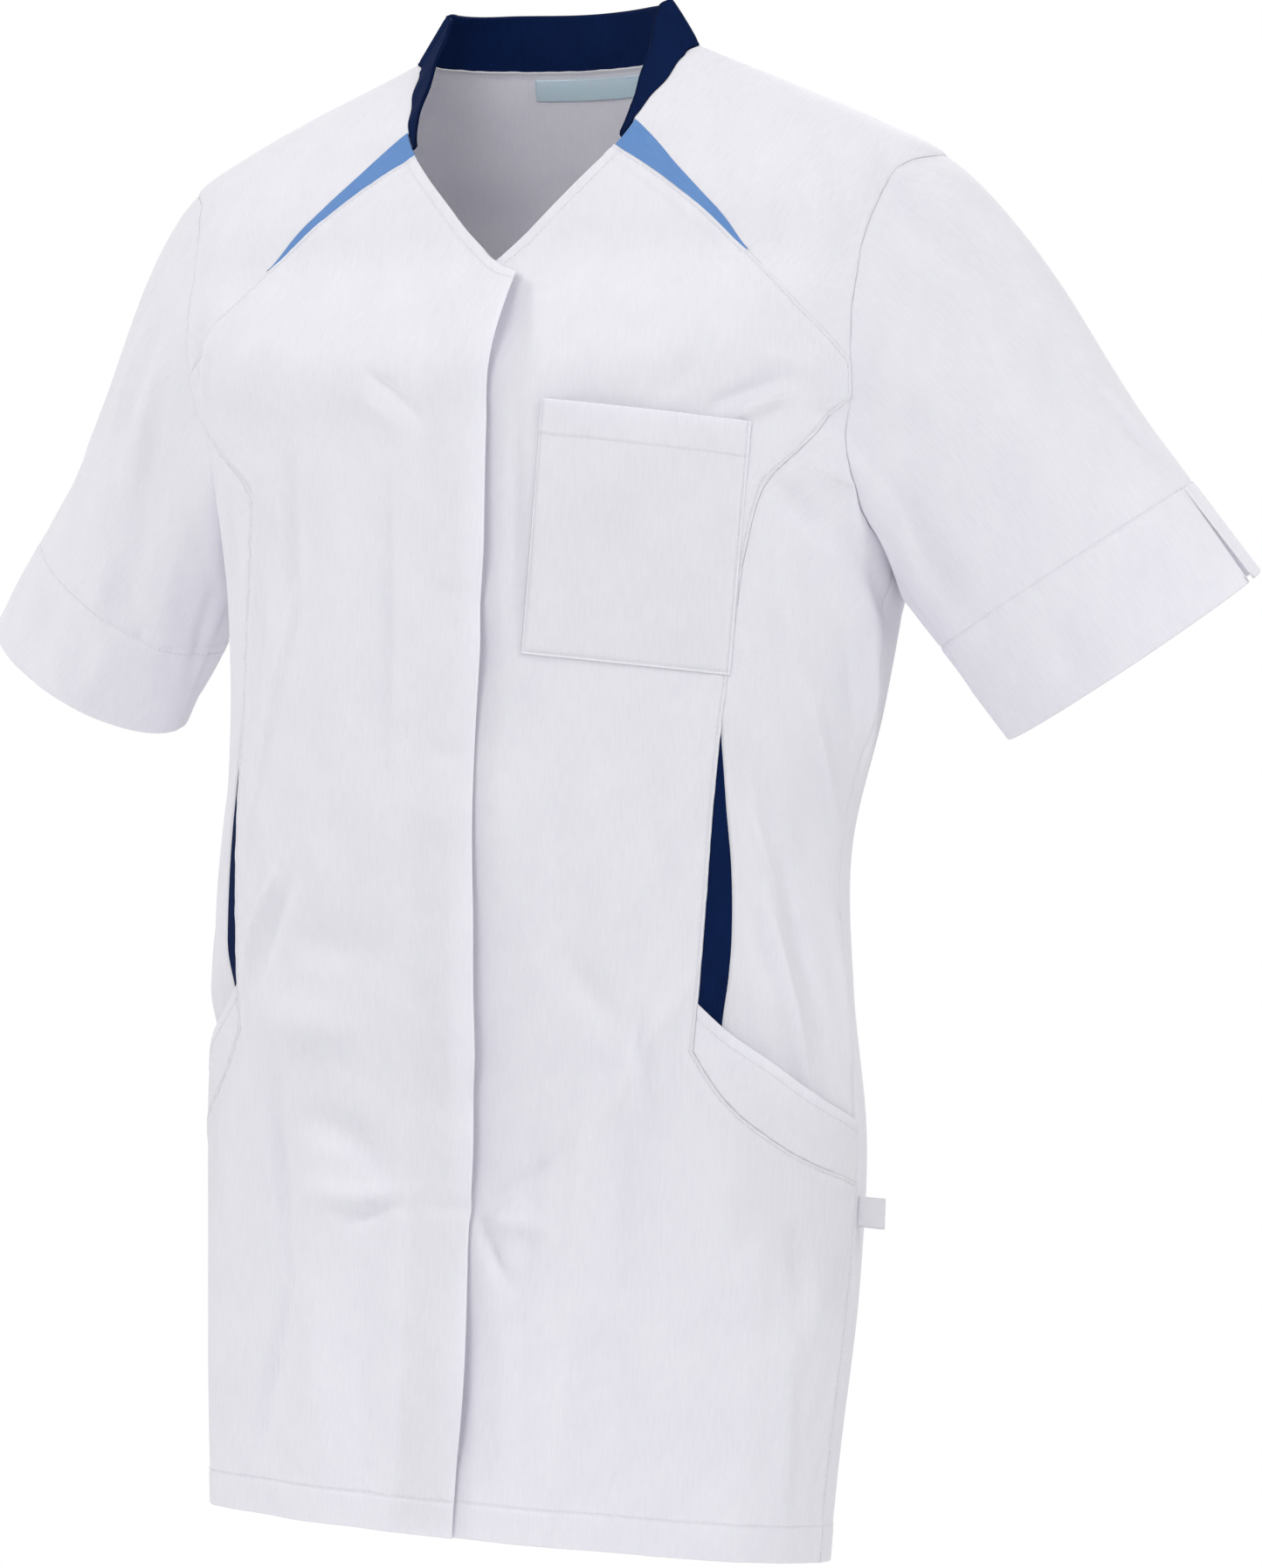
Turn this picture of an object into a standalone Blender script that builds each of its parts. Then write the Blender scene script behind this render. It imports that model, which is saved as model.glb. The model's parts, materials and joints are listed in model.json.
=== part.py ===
"""A nurse's uniform dress: a hip-length button-front tunic in its worn shape, with no wearer inside.

Metres, +Z up. The front faces -Y and the wearer's left is +X. The origin is the middle of the neck,
level with the shoulder line beside it, where the wearer's neck and shoulders carry the garment.

A place on the body is a turn and a height. The turn is in degrees about the upright axis: 0 is the centre
front, 90 the wearer's left side, 180 the centre back and -90 the wearer's right side. Each seam is a short
list of such places, and the two pieces that meet there are made from the same points of it.
"""
import bpy
import numpy as np

# Driving sizes
CLOTH = 0.0015            # thickness of the poly-cotton wall
COLLAR_CLOTH = 0.0020     # the stand collar is two layers
TAG_CLOTH = 0.0010        # a folded woven tag
SEAM_GAP = 0.0003         # between two pieces at a seam
PATCH_GAP = 0.0006        # between a panel and what is sewn on it
LABEL_GAP = 0.0010        # between the back and the neck label, whose faces cross its curve
TAG_GAP = 0.0003          # between the side seam and the tag caught in it
OVERLAP = 0.018           # how far each front passes the centre line
CORNER_SLOPE = 0.45       # fall of the neck edge past the centre line
NECK_BLEND = 0.06         # share of the front's length over which its rows settle to the same heights
FRONT_LIFT = 0.0028       # the right front lies this far over the left one
EDGE_FLARE = 0.0035       # how far the loose placket edge waves out between its buttons
BUTTON_STEP = 0.095       # distance between the hidden buttons
FIRST_BUTTON = -0.165
POCKET_SINK = 0.0062      # the side panel passes this far behind the hip pocket
POCKET_DEPTH = 0.115      # how far the side panel goes on inside the hip pocket
POCKET_FULLNESS = 0.0035  # how far the chest pocket stands off at its middle
STAND = 0.034             # height of the collar at the back and the sides
STAND_TIP = 0.003         # height of the collar at its front ends
STAND_RUN = 0.075         # how far along the neck it takes to reach its full height
STAND_LEAN = (33.0, 12.0)  # degrees that the collar leans in, at its sides and at the back
CUFF_BAND = 0.064         # depth of the turned-up cuff facing, and the length of its vent
VENT_OPEN = 0.0045        # width of the vent at the cuff's edge
TAG = (0.016, 0.017)      # how far the side tag stands out, and its height

# Level sections of the body, from the neck down. The front and back depths are from the axis.
SECTION_COLUMNS = ("height", "left_width", "right_width", "front_depth", "back_depth", "axis_y",
                   "front_squareness", "back_squareness")
SECTIONS = np.array([
    (0.030, 0.056, 0.056, 0.0040, 0.050, -0.022, 2.00, 2.00),
    (0.018, 0.0790, 0.0755, 0.0045, 0.066, -0.022, 2.00, 2.00),
    (0.012, 0.0910, 0.0875, 0.0060, 0.070, -0.022, 2.00, 2.00),
    (0.004, 0.109, 0.106, 0.0140, 0.075, -0.021, 2.00, 2.00),
    (-0.013, 0.148, 0.148, 0.0310, 0.086, -0.018, 2.00, 2.00),
    (-0.036, 0.199, 0.199, 0.0550, 0.099, -0.0125, 2.00, 2.00),
    (-0.055, 0.234, 0.235, 0.0690, 0.110, -0.006, 2.05, 2.00),
    (-0.070, 0.236, 0.239, 0.0755, 0.117, -0.005, 2.30, 2.08),
    (-0.090, 0.233, 0.240, 0.0810, 0.124, -0.004, 2.75, 2.20),
    (-0.120, 0.228, 0.238, 0.0890, 0.131, -0.003, 2.90, 2.35),
    (-0.150, 0.222, 0.231, 0.1110, 0.136, -0.002, 2.75, 2.40),
    (-0.180, 0.218, 0.222, 0.1295, 0.139, -0.001, 2.55, 2.40),
    (-0.220, 0.214, 0.210, 0.1325, 0.141, 0.000, 2.40, 2.35),
    (-0.280, 0.210, 0.198, 0.1318, 0.137, 0.000, 2.30, 2.30),
    (-0.360, 0.200, 0.191, 0.1310, 0.121, 0.000, 2.25, 2.25),
    (-0.440, 0.1845, 0.191, 0.1305, 0.105, 0.000, 2.25, 2.25),
    (-0.520, 0.1885, 0.195, 0.1245, 0.097, 0.000, 2.25, 2.25),
    (-0.600, 0.1975, 0.197, 0.1165, 0.098, 0.000, 2.25, 2.25),
    (-0.680, 0.1945, 0.1925, 0.1155, 0.103, 0.000, 2.25, 2.25),
    (-0.780, 0.1865, 0.184, 0.1200, 0.106, 0.000, 2.25, 2.25),
    (-0.880, 0.1820, 0.176, 0.1245, 0.106, 0.000, 2.25, 2.25),
])

# The largest folds: soft ridges, and troughs where the depth is negative.
FOLD_COLUMNS = ("turn", "height", "half_turn", "half_height", "depth")
FOLDS = np.array([
    (64.0, -0.78, 9.0, 0.13, 0.0045),
    (44.0, -0.80, 8.0, 0.12, -0.0035),
    (24.0, -0.78, 9.0, 0.12, 0.0035),
    (-30.0, -0.76, 9.0, 0.13, 0.0035),
    (-48.0, -0.78, 8.0, 0.12, -0.0035),
    (-66.0, -0.76, 9.0, 0.13, 0.0045),
    (78.0, -0.42, 7.0, 0.10, -0.0040),
    (-78.0, -0.42, 7.0, 0.10, -0.0040),
    (96.0, -0.70, 9.0, 0.12, 0.0035),
    (-96.0, -0.70, 9.0, 0.12, 0.0035),
    (126.0, -0.46, 9.0, 0.12, 0.0045),
    (-126.0, -0.46, 9.0, 0.12, 0.0045),
    (150.0, -0.78, 11.0, 0.14, 0.0050),
    (-150.0, -0.78, 11.0, 0.14, 0.0050),
    (180.0, -0.44, 20.0, 0.10, -0.0050),
    (112.0, -0.22, 7.0, 0.07, 0.0040),
    (-112.0, -0.22, 7.0, 0.07, 0.0040),
])

# Seams of the wearer's left half, as (turn, height). The right half mirrors them.
NECK_POINT = (0.0, -0.1215)
WEDGE_LOW_CORNER = (43.0, -0.0540)
WEDGE_TOP = (53.0, -0.0380)
WEDGE_LOW = [WEDGE_LOW_CORNER, (50.3, -0.0700), (55.8, -0.0890), (59.1, -0.1043), (61.3, -0.1185)]
WEDGE_HIGH = [WEDGE_TOP, (54.6, -0.0610), (57.6, -0.0840), (60.3, -0.1019), (61.9, -0.1175)]
YOKE_SEAM = [(61.7, -0.1190), (65.0, -0.1500), (72.3, -0.1800)]
ARMHOLE_YOKE_FRONT = [(72.3, -0.1800), (72.4, -0.1537), (74.2, -0.1240), (76.6, -0.0942), (82.6, -0.0640), (90.0, -0.0550)]
ARMHOLE_YOKE_BACK = [(90.0, -0.0550), (97.0, -0.0660)]
ARMHOLE_FRONT = [(72.3, -0.1800), (73.1, -0.1983)]
ARMHOLE_SIDE = [(73.1, -0.1983), (74.4, -0.2340), (80.0, -0.2640), (90.0, -0.2780)]
ARMHOLE_BACK = [(97.0, -0.0660), (103.5, -0.1000), (106.5, -0.1500), (106.5, -0.2000), (101.0, -0.2560), (90.0, -0.2780)]
NECK_SEAM = [WEDGE_TOP, (62.0, -0.0250), (71.9, -0.0130), (84.0, 0.0040), (90.0, 0.0120), (97.0, 0.0135)]
NECK_BACK = [(97.0, 0.0135), (135.0, 0.0170), (180.0, 0.0180), (225.0, 0.0170), (263.0, 0.0135)]
SHOULDER_SEAM = [(97.0, 0.0135), (97.0, -0.0230), (97.0, -0.0660)]
COLLAR_TIP = [(45.5, -0.0500), WEDGE_TOP]
PRINCESS = [(73.1, -0.1983), (65.9, -0.2278), (61.2, -0.2469), (58.6, -0.2850), (57.8, -0.3270), (57.1, -0.3754)]
INSET_INNER = [(57.0, -0.3754), (56.9, -0.4121), (56.5, -0.4592), (56.0, -0.5297)]
INSET_OUTER = [(57.3, -0.3754), (59.2, -0.4212), (60.9, -0.4586), (61.1, -0.4963), (60.1, -0.5415)]
MOUTH = [(56.0, -0.5297), (60.1, -0.5415), (68.8, -0.5592), (77.6, -0.5770), (90.0, -0.5930)]
WELT_LOW = [(55.6, -0.5556), (61.5, -0.5818), (72.4, -0.6077), (90.0, -0.6270)]
CHEST_POCKET = [(20.6, -0.2055), (57.8, -0.2164), (18.0, -0.3442), (57.6, -0.3528)]
LABEL_COLUMNS = (3, 7)    # the neck label's first and last column on the back neck
LABEL_SPAN = (0.08, 0.56)  # its top and foot, as shares of the back's first row
TAG_PLACE = (91.0, -0.6340)
SIDE_TURN = 90.0

# The hem lies in one plane that rises towards the front.
HEM_HEIGHT = -0.8366
HEM_RISE = 0.1206

# The wearer's right half hangs a little turned: its seams sit this many degrees further round.
SWING_COLUMNS = ("height", "degrees")
RIGHT_SWING = np.array([
    (-0.180, 0.0), (-0.215, -4.0), (-0.245, -7.0), (-0.285, -3.0),
    (-0.330, 0.5), (-0.380, 2.6), (-0.550, 2.8), (-0.880, 2.6),
])

# Steps along each seam
STEPS = dict(wedge=4, yoke=3, arm_yoke_front=7, arm_yoke_back=2, arm_front=1, arm_side=5, arm_back=9,
             princess=7, inset=6, side=13, in_pocket=4, welt=7, side_low=7, neck_back=10)
EVEN_PASSES = 60          # how often a patch's inner points are evened out
EVEN_SHARE = 0.7          # how far each goes towards its neighbours' middle at a time
FRONT_COLUMNS = 8
WEDGE_COLUMNS = 2
WELT_ROWS = 2
COLLAR_ROWS = 3
POCKET_STEPS = 8
CAP_ROWS = 6
ARM_ROWS = 2
CUFF_ROWS = 4
VENT_COLUMN = 1           # the vent's column, counted from the shoulder point towards the front

# The sleeve, as rings across its own axis: top is the outer edge, bottom the underarm side, and front is
# the way from the ring's middle to its front. Both sleeves are written for the left side.
SLEEVE_COLUMNS = ("ring", "top", "bottom", "front")
LEFT_SLEEVE = dict(
    arm=((0.346, 0.044, -0.2080), (0.215, 0.006, -0.3030), (0.004, -0.050, -0.008)),
    cuff=((0.4035, 0.0500, -0.2830), (0.267, 0.040, -0.3760), (0.004, -0.042, -0.013)))
RIGHT_SLEEVE = dict(
    arm=((0.341, 0.044, -0.2140), (0.213, 0.006, -0.3000), (0.004, -0.050, -0.010)),
    cuff=((0.4000, 0.0500, -0.3035), (0.265, 0.040, -0.3760), (0.004, -0.042, -0.018)))
CAP_OUT = np.array([0.80, 0.20, -0.56])   # which way the cap leaves the shoulder point
UNDER_CLEAR = 0.0012      # how far the underarm of the sleeve stands off the body

# Finishes: colour, roughness
WHITE = ((0.80, 0.80, 0.84), 0.85)
NAVY = ((0.006, 0.020, 0.082), 0.80)
BLUE = ((0.145, 0.290, 0.610), 0.80)
PALE = ((0.560, 0.760, 0.900), 0.60)


def through(rows, x, column):
    """A smooth curve through one column of a table whose first column is the height, read at heights x."""
    heights = -rows[:, 0]
    values = rows[:, column]
    slopes = np.gradient(values, heights)
    at = np.clip(-x, heights[0], heights[-1])
    i = np.clip(np.searchsorted(heights, at) - 1, 0, len(heights) - 2)
    step = heights[i + 1] - heights[i]
    u = (at - heights[i]) / step
    start = (2 * u**3 - 3 * u**2 + 1) * values[i] + (u**3 - 2 * u**2 + u) * step * slopes[i]
    end = (3 * u**2 - 2 * u**3) * values[i + 1] + (u**3 - u**2) * step * slopes[i + 1]
    return start + end


def smooth(x, low, high):
    """0 below low, 1 above high, and an S curve between."""
    u = np.clip((x - low) / (high - low), 0, 1)
    return u * u * (3 - 2 * u)


def folds(turn, height):
    """How far the cloth stands out from its section: the sum of the rounded ridges and troughs."""
    total = np.zeros(np.broadcast(turn, height).shape)
    for fold_turn, fold_height, half_turn, half_height, depth in FOLDS:
        across = (np.mod(turn - fold_turn + 180, 360) - 180) / half_turn
        along = (height - fold_height) / half_height
        total = total + depth * np.exp(-across**2 - along**2)
    return total


def surface(turn, height):
    """The body's outer surface: a rounded section whose front and back have their own depths."""
    left, right, front, back, axis_y, square, back_square = (through(SECTIONS, height, c) for c in range(1, 8))
    sine, cosine = np.sin(np.radians(turn)), np.cos(np.radians(turn))
    half_width = np.where(sine > 0, left, right)
    depth = np.where(cosine > 0, front, back)
    power = np.where(cosine > 0, square, back_square)
    radius = ((np.abs(sine) / half_width)**power + (np.abs(cosine) / depth)**power)**(-1 / power)
    radius = radius + folds(turn, height)
    return np.stack([radius * sine, axis_y - radius * cosine, height + 0 * radius], -1)


def outward(turn, height):
    """The surface's unit normal, from two short steps along it."""
    around = surface(turn + 0.5, height) - surface(turn - 0.5, height)
    down = surface(turn, height - 0.0005) - surface(turn, height + 0.0005)
    normal = np.cross(down, around)
    return normal / np.linalg.norm(normal, axis=-1, keepdims=True)


def swing(side, turn, height):
    """The signed turn on that half of the body, with the right half's swing."""
    if side > 0:
        return turn
    share = np.clip(np.minimum((turn - 15) / 40, (90 - turn) / 35), 0, 1)
    return -(turn + share * through(RIGHT_SWING, height, 1))


def skin(side, turn, height, out=0.0):
    """Points of the body's surface on one half, moved out along the normal."""
    signed = swing(side, np.asarray(turn, float), np.asarray(height, float))
    return surface(signed, height) + outward(signed, height) * np.asarray(out)[..., None]


def seam(places, steps):
    """A smooth line of steps + 1 points through the places, evenly spaced as the cloth measures it."""
    places = np.array(places, float)
    scaled = places * (0.0033, 1.0)
    knots = np.concatenate([[0], np.cumsum(np.linalg.norm(np.diff(scaled, axis=0), axis=1))])
    fine = np.linspace(0, knots[-1], steps + 1)
    slopes = np.gradient(places, knots, axis=0) if len(places) > 2 else np.tile(
        (places[1] - places[0]) / knots[1], (2, 1))
    i = np.clip(np.searchsorted(knots, fine) - 1, 0, len(knots) - 2)
    step = (knots[i + 1] - knots[i])[:, None]
    u = (fine - knots[i])[:, None] / step
    start = (2 * u**3 - 3 * u**2 + 1) * places[i] + (u**3 - 2 * u**2 + u) * step * slopes[i]
    end = (3 * u**2 - 2 * u**3) * places[i + 1] + (u**3 - u**2) * step * slopes[i + 1]
    return start + end


def join(*lines):
    """Lines that follow each other, as one, with each shared end once."""
    return np.concatenate([lines[0]] + [line[1:] for line in lines[1:]])


def fill(top, bottom, left, right):
    """A four-sided patch of places between its edge lines, which it meets exactly: across plus down, less
    what the corners give twice. Each inner point is then evened out, over and over, by a step along the
    surface towards the middle of its four neighbours."""
    u = np.linspace(0, 1, len(top))[None, :, None]
    v = np.linspace(0, 1, len(left))[:, None, None]
    across = (1 - u) * left[:, None] + u * right[:, None]
    down = (1 - v) * top[None] + v * bottom[None]
    corners = ((1 - u) * (1 - v) * top[0] + u * (1 - v) * top[-1]
               + (1 - u) * v * bottom[0] + u * v * bottom[-1])
    places = across + down - corners
    for _ in range(EVEN_PASSES):
        points = surface(places[..., 0], places[..., 1])
        turn, height = places[1:-1, 1:-1, 0], places[1:-1, 1:-1, 1]
        wanted = (points[:-2, 1:-1] + points[2:, 1:-1] + points[1:-1, :-2] + points[1:-1, 2:]) / 4
        wanted = wanted - points[1:-1, 1:-1]
        around = surface(turn + 0.5, height) - surface(turn - 0.5, height)
        up = (surface(turn, height + 0.0005) - surface(turn, height - 0.0005)) / 0.001
        aa, uu, au = (around * around).sum(-1), (up * up).sum(-1), (around * up).sum(-1)
        wa, wu = (wanted * around).sum(-1), (wanted * up).sum(-1)
        spread = aa * uu - au * au
        turn += EVEN_SHARE * (wa * uu - wu * au) / spread
        height += EVEN_SHARE * (wu * aa - wa * au) / spread
    return places


def hem_line(turns, side=1):
    """Places on the hem's plane at these turns."""
    heights = np.full(len(turns), HEM_HEIGHT)
    for _ in range(4):
        heights = HEM_HEIGHT - HEM_RISE * skin(side, turns, heights)[:, 1]
    return np.stack([turns, heights], -1)


def turn_at(x, height):
    """The turn at which the front is x metres off the centre line."""
    return np.degrees(np.arctan2(x, through(SECTIONS, height, 3)))


def inward(edge, inside):
    """Unit steps from an edge line into the piece, square to the edge."""
    along = np.gradient(edge, axis=0)
    along = along / np.linalg.norm(along, axis=-1, keepdims=True)
    step = inside - edge
    step = step - (step * along).sum(-1, keepdims=True) * along
    return step / np.linalg.norm(step, axis=-1, keepdims=True)


def drawn_in(grid, amount=SEAM_GAP / 2, sides="tblr"):
    """The grid with its edge lines moved in, which leaves the seam's gap to its neighbours."""
    moved = grid.copy()
    if "t" in sides:
        moved[0] += amount * inward(grid[0], grid[1])
    if "b" in sides:
        moved[-1] += amount * inward(grid[-1], grid[-2])
    if "l" in sides:
        moved[:, 0] += amount * inward(grid[:, 0], grid[:, 1])
    if "r" in sides:
        moved[:, -1] += amount * inward(grid[:, -1], grid[:, -2])
    return moved


def finish(name, colour, roughness):
    """A plain material for one piece."""
    material = bpy.data.materials.new(name)
    material.use_nodes = True
    shader = material.node_tree.nodes["Principled BSDF"]
    shader.inputs["Base Color"].default_value = (*colour, 1)
    shader.inputs["Roughness"].default_value = roughness
    shader.inputs["Metallic"].default_value = 0.0
    return material


def wall(name, outer, inner, quads, look):
    """One closed piece of cloth: its outer face, its inner face and the edge that joins them.
    Each quad is cut along its shorter diagonal."""
    count = len(outer)
    first = quads[0]
    facing = np.cross(outer[first[1]] - outer[first[0]], outer[first[3]] - outer[first[0]])
    if facing @ (outer[first[0]] - inner[first[0]]) < 0:
        quads = quads[:, ::-1]
    first_way = np.linalg.norm(outer[quads[:, 0]] - outer[quads[:, 2]], axis=1)
    other_way = np.linalg.norm(outer[quads[:, 1]] - outer[quads[:, 3]], axis=1)
    quads = np.where((first_way <= other_way)[:, None], quads, np.roll(quads, -1, axis=1))
    triangles = np.concatenate([quads[:, [0, 1, 2]], quads[:, [0, 2, 3]]])
    once = {}
    for a, b in np.concatenate([triangles[:, [0, 1]], triangles[:, [1, 2]], triangles[:, [2, 0]]]).tolist():
        if (b, a) in once:
            del once[(b, a)]
        else:
            once[(a, b)] = True
    edge = np.array(list(once))
    rim = np.concatenate([
        np.stack([edge[:, 1], edge[:, 0], edge[:, 0] + count], 1),
        np.stack([edge[:, 1], edge[:, 0] + count, edge[:, 1] + count], 1)])
    faces = np.concatenate([triangles, triangles[:, ::-1] + count, rim])
    mesh = bpy.data.meshes.new(name)
    mesh.from_pydata(np.concatenate([outer, inner]).tolist(), [], faces.tolist())
    mesh.update()
    mesh.shade_smooth()
    mesh.set_sharp_from_angle(angle=np.radians(40))
    mesh.materials.append(finish(name, *look))
    piece = bpy.data.objects.new(name, mesh)
    bpy.context.scene.collection.objects.link(piece)
    return piece


def grid_quads(rows, columns):
    """The quads of a grid of points, as indices into it."""
    i = np.arange(rows - 1)[:, None] * columns
    j = np.arange(columns - 1)[None, :]
    a = (i + j).ravel()
    return np.stack([a, a + columns, a + columns + 1, a + 1], 1)


def panel(name, side, places, look, out=0.0, thickness=CLOTH, sides="tblr"):
    """A cloth piece on the body from a grid of places. Its outer face stands out by out."""
    turn, height = places[..., 0], places[..., 1]
    outer = drawn_in(skin(side, turn, height, out), sides=sides)
    inner = drawn_in(skin(side, turn, height, out - thickness), sides=sides)
    rows, columns = turn.shape
    return wall(name, outer.reshape(-1, 3), inner.reshape(-1, 3), grid_quads(rows, columns), look)


def seam_lines():
    """Every shared seam of the left half, as lines of places."""
    s = STEPS
    lines = dict(
        wedge_low=seam(WEDGE_LOW, s["wedge"]), wedge_high=seam(WEDGE_HIGH, s["wedge"]),
        yoke=seam(YOKE_SEAM, s["yoke"]), arm_yoke_front=seam(ARMHOLE_YOKE_FRONT, s["arm_yoke_front"]),
        arm_yoke_back=seam(ARMHOLE_YOKE_BACK, s["arm_yoke_back"]),
        arm_front=seam(ARMHOLE_FRONT, s["arm_front"]), arm_side=seam(ARMHOLE_SIDE, s["arm_side"]),
        arm_back=seam(ARMHOLE_BACK, s["arm_back"]), princess=seam(PRINCESS, s["princess"]),
        inset_inner=seam(INSET_INNER, s["inset"]), inset_outer=seam(INSET_OUTER, s["inset"]),
        welt_low=seam(WELT_LOW, s["welt"]), mouth=seam(MOUTH, s["welt"]),
        neck=seam(NECK_SEAM, s["arm_yoke_front"] + s["arm_yoke_back"]),
        neck_back=seam(NECK_BACK, s["neck_back"]),
        shoulder=seam(SHOULDER_SEAM, s["wedge"] + s["yoke"] + 1))
    hem_corner = hem_line(np.array([SIDE_TURN]))[0]
    lines["side"] = seam([(SIDE_TURN, ARMHOLE_SIDE[-1][1]), MOUTH[-1]], s["side"])
    lines["side_welt"] = seam([MOUTH[-1], WELT_LOW[-1]], WELT_ROWS)
    lines["side_low"] = seam([WELT_LOW[-1], hem_corner], s["side_low"])
    lines["welt_end"] = seam([MOUTH[0], WELT_LOW[0]], WELT_ROWS)
    return lines


def front_places(lines):
    """A front: from its edge past the centre line out to the yoke, princess, pocket and side seams."""
    past_wedge = join(lines["yoke"], lines["arm_front"], lines["princess"][:-1])
    upper = np.concatenate([lines["wedge_low"], past_wedge])
    lower = join(lines["inset_inner"], lines["welt_end"], lines["welt_low"], lines["side_low"])
    outer = np.concatenate([upper, lower])
    measured = np.cumsum(np.linalg.norm(np.diff(skin(1, outer[:, 0], outer[:, 1]), axis=0), axis=1))
    share = np.concatenate([[0], measured / measured[-1]])
    neck_slope = (WEDGE_LOW_CORNER[1] - NECK_POINT[1]) / WEDGE_LOW_CORNER[0]
    columns = []
    for x in (-OVERLAP, 0.0, OVERLAP):
        top = NECK_POINT[1] + (neck_slope * turn_at(x, NECK_POINT[1]) if x > 0 else x * CORNER_SLOPE)
        foot = hem_line(np.array([turn_at(x, HEM_HEIGHT)]))[0, 1]
        common = NECK_POINT[1] + (foot - NECK_POINT[1]) * share
        heights = common + (top - NECK_POINT[1]) * np.clip(1 - share / NECK_BLEND, 0, 1)
        columns.append(np.stack([turn_at(x, heights), heights], -1))
    start = columns[-1]
    u = np.linspace(0, 1, FRONT_COLUMNS + 1)[:, None]
    neckline = start[0] * (1 - u) + outer[0] * u
    hem = hem_line((start[-1, 0] * (1 - u) + outer[-1, 0] * u)[:, 0])
    hem[0], hem[-1] = start[-1], outer[-1]
    rest = fill(neckline, hem, start, outer)
    return np.concatenate([columns[0][:, None], columns[1][:, None], rest], 1)


def placket_lift(places):
    """How far the right front stands over the left one: the overlap, and waves between the buttons."""
    turn, height = places[..., 0], places[..., 1]
    x = -np.tan(np.radians(turn)) * through(SECTIONS, height, 3)
    over = smooth(x, -0.055, -OVERLAP - 0.002)
    waves = 0.5 - 0.5 * np.cos(2 * np.pi * (height - FIRST_BUTTON) / BUTTON_STEP)
    return over * FRONT_LIFT + smooth(x, 0.002, OVERLAP) * EDGE_FLARE * waves


def mouth_height(turn):
    """The height of the hip pocket's mouth at a turn."""
    table = np.array(MOUTH)
    return np.interp(turn, table[:, 0], table[:, 1])


def side_panel(name, side, lines):
    """The side front: it passes behind the hip pocket's mouth and goes on down inside."""
    steps = STEPS["in_pocket"]
    inner_end = lines["inset_outer"][-1]
    inside_pocket = seam([inner_end, (inner_end[0] + 1.5, inner_end[1] - POCKET_DEPTH)], steps)
    outside_pocket = seam([lines["side"][-1], (SIDE_TURN, lines["side"][-1][1] - POCKET_DEPTH)], steps)
    left = np.concatenate([lines["princess"][:-1], join(lines["inset_outer"], inside_pocket)])
    right = join(lines["side"], outside_pocket)
    bottom = np.linspace(left[-1], right[-1], len(lines["arm_side"]))
    places = fill(lines["arm_side"], bottom, left, right)
    above = places[..., 1] - mouth_height(places[..., 0])
    sink = -POCKET_SINK * (1 - smooth(above, 0.003, 0.040))
    return panel(name, side, places, WHITE, out=sink)


def armhole(lines):
    """The armhole's places from the shoulder point, down the front, under the arm and up the back."""
    return join(lines["arm_yoke_front"][::-1], lines["arm_front"], lines["arm_side"],
                lines["arm_back"][::-1], lines["arm_yoke_back"][::-1])[:-1]


def along_hermite(a, b, slope_a, slope_b, u):
    """A smooth path from a to b with these slopes at its ends."""
    return ((2 * u**3 - 3 * u**2 + 1) * a + (u**3 - 2 * u**2 + u) * slope_a
            + (3 * u**2 - 2 * u**3) * b + (u**3 - u**2) * slope_b)


def ring(table, angle):
    """A flat oval ring between its top and bottom points, with its front at a quarter turn."""
    top, bottom, front = np.array(table)
    middle, up = (top + bottom) / 2, (top - bottom) / 2
    return middle + np.cos(angle)[:, None] * up + np.sin(angle)[:, None] * front


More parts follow.
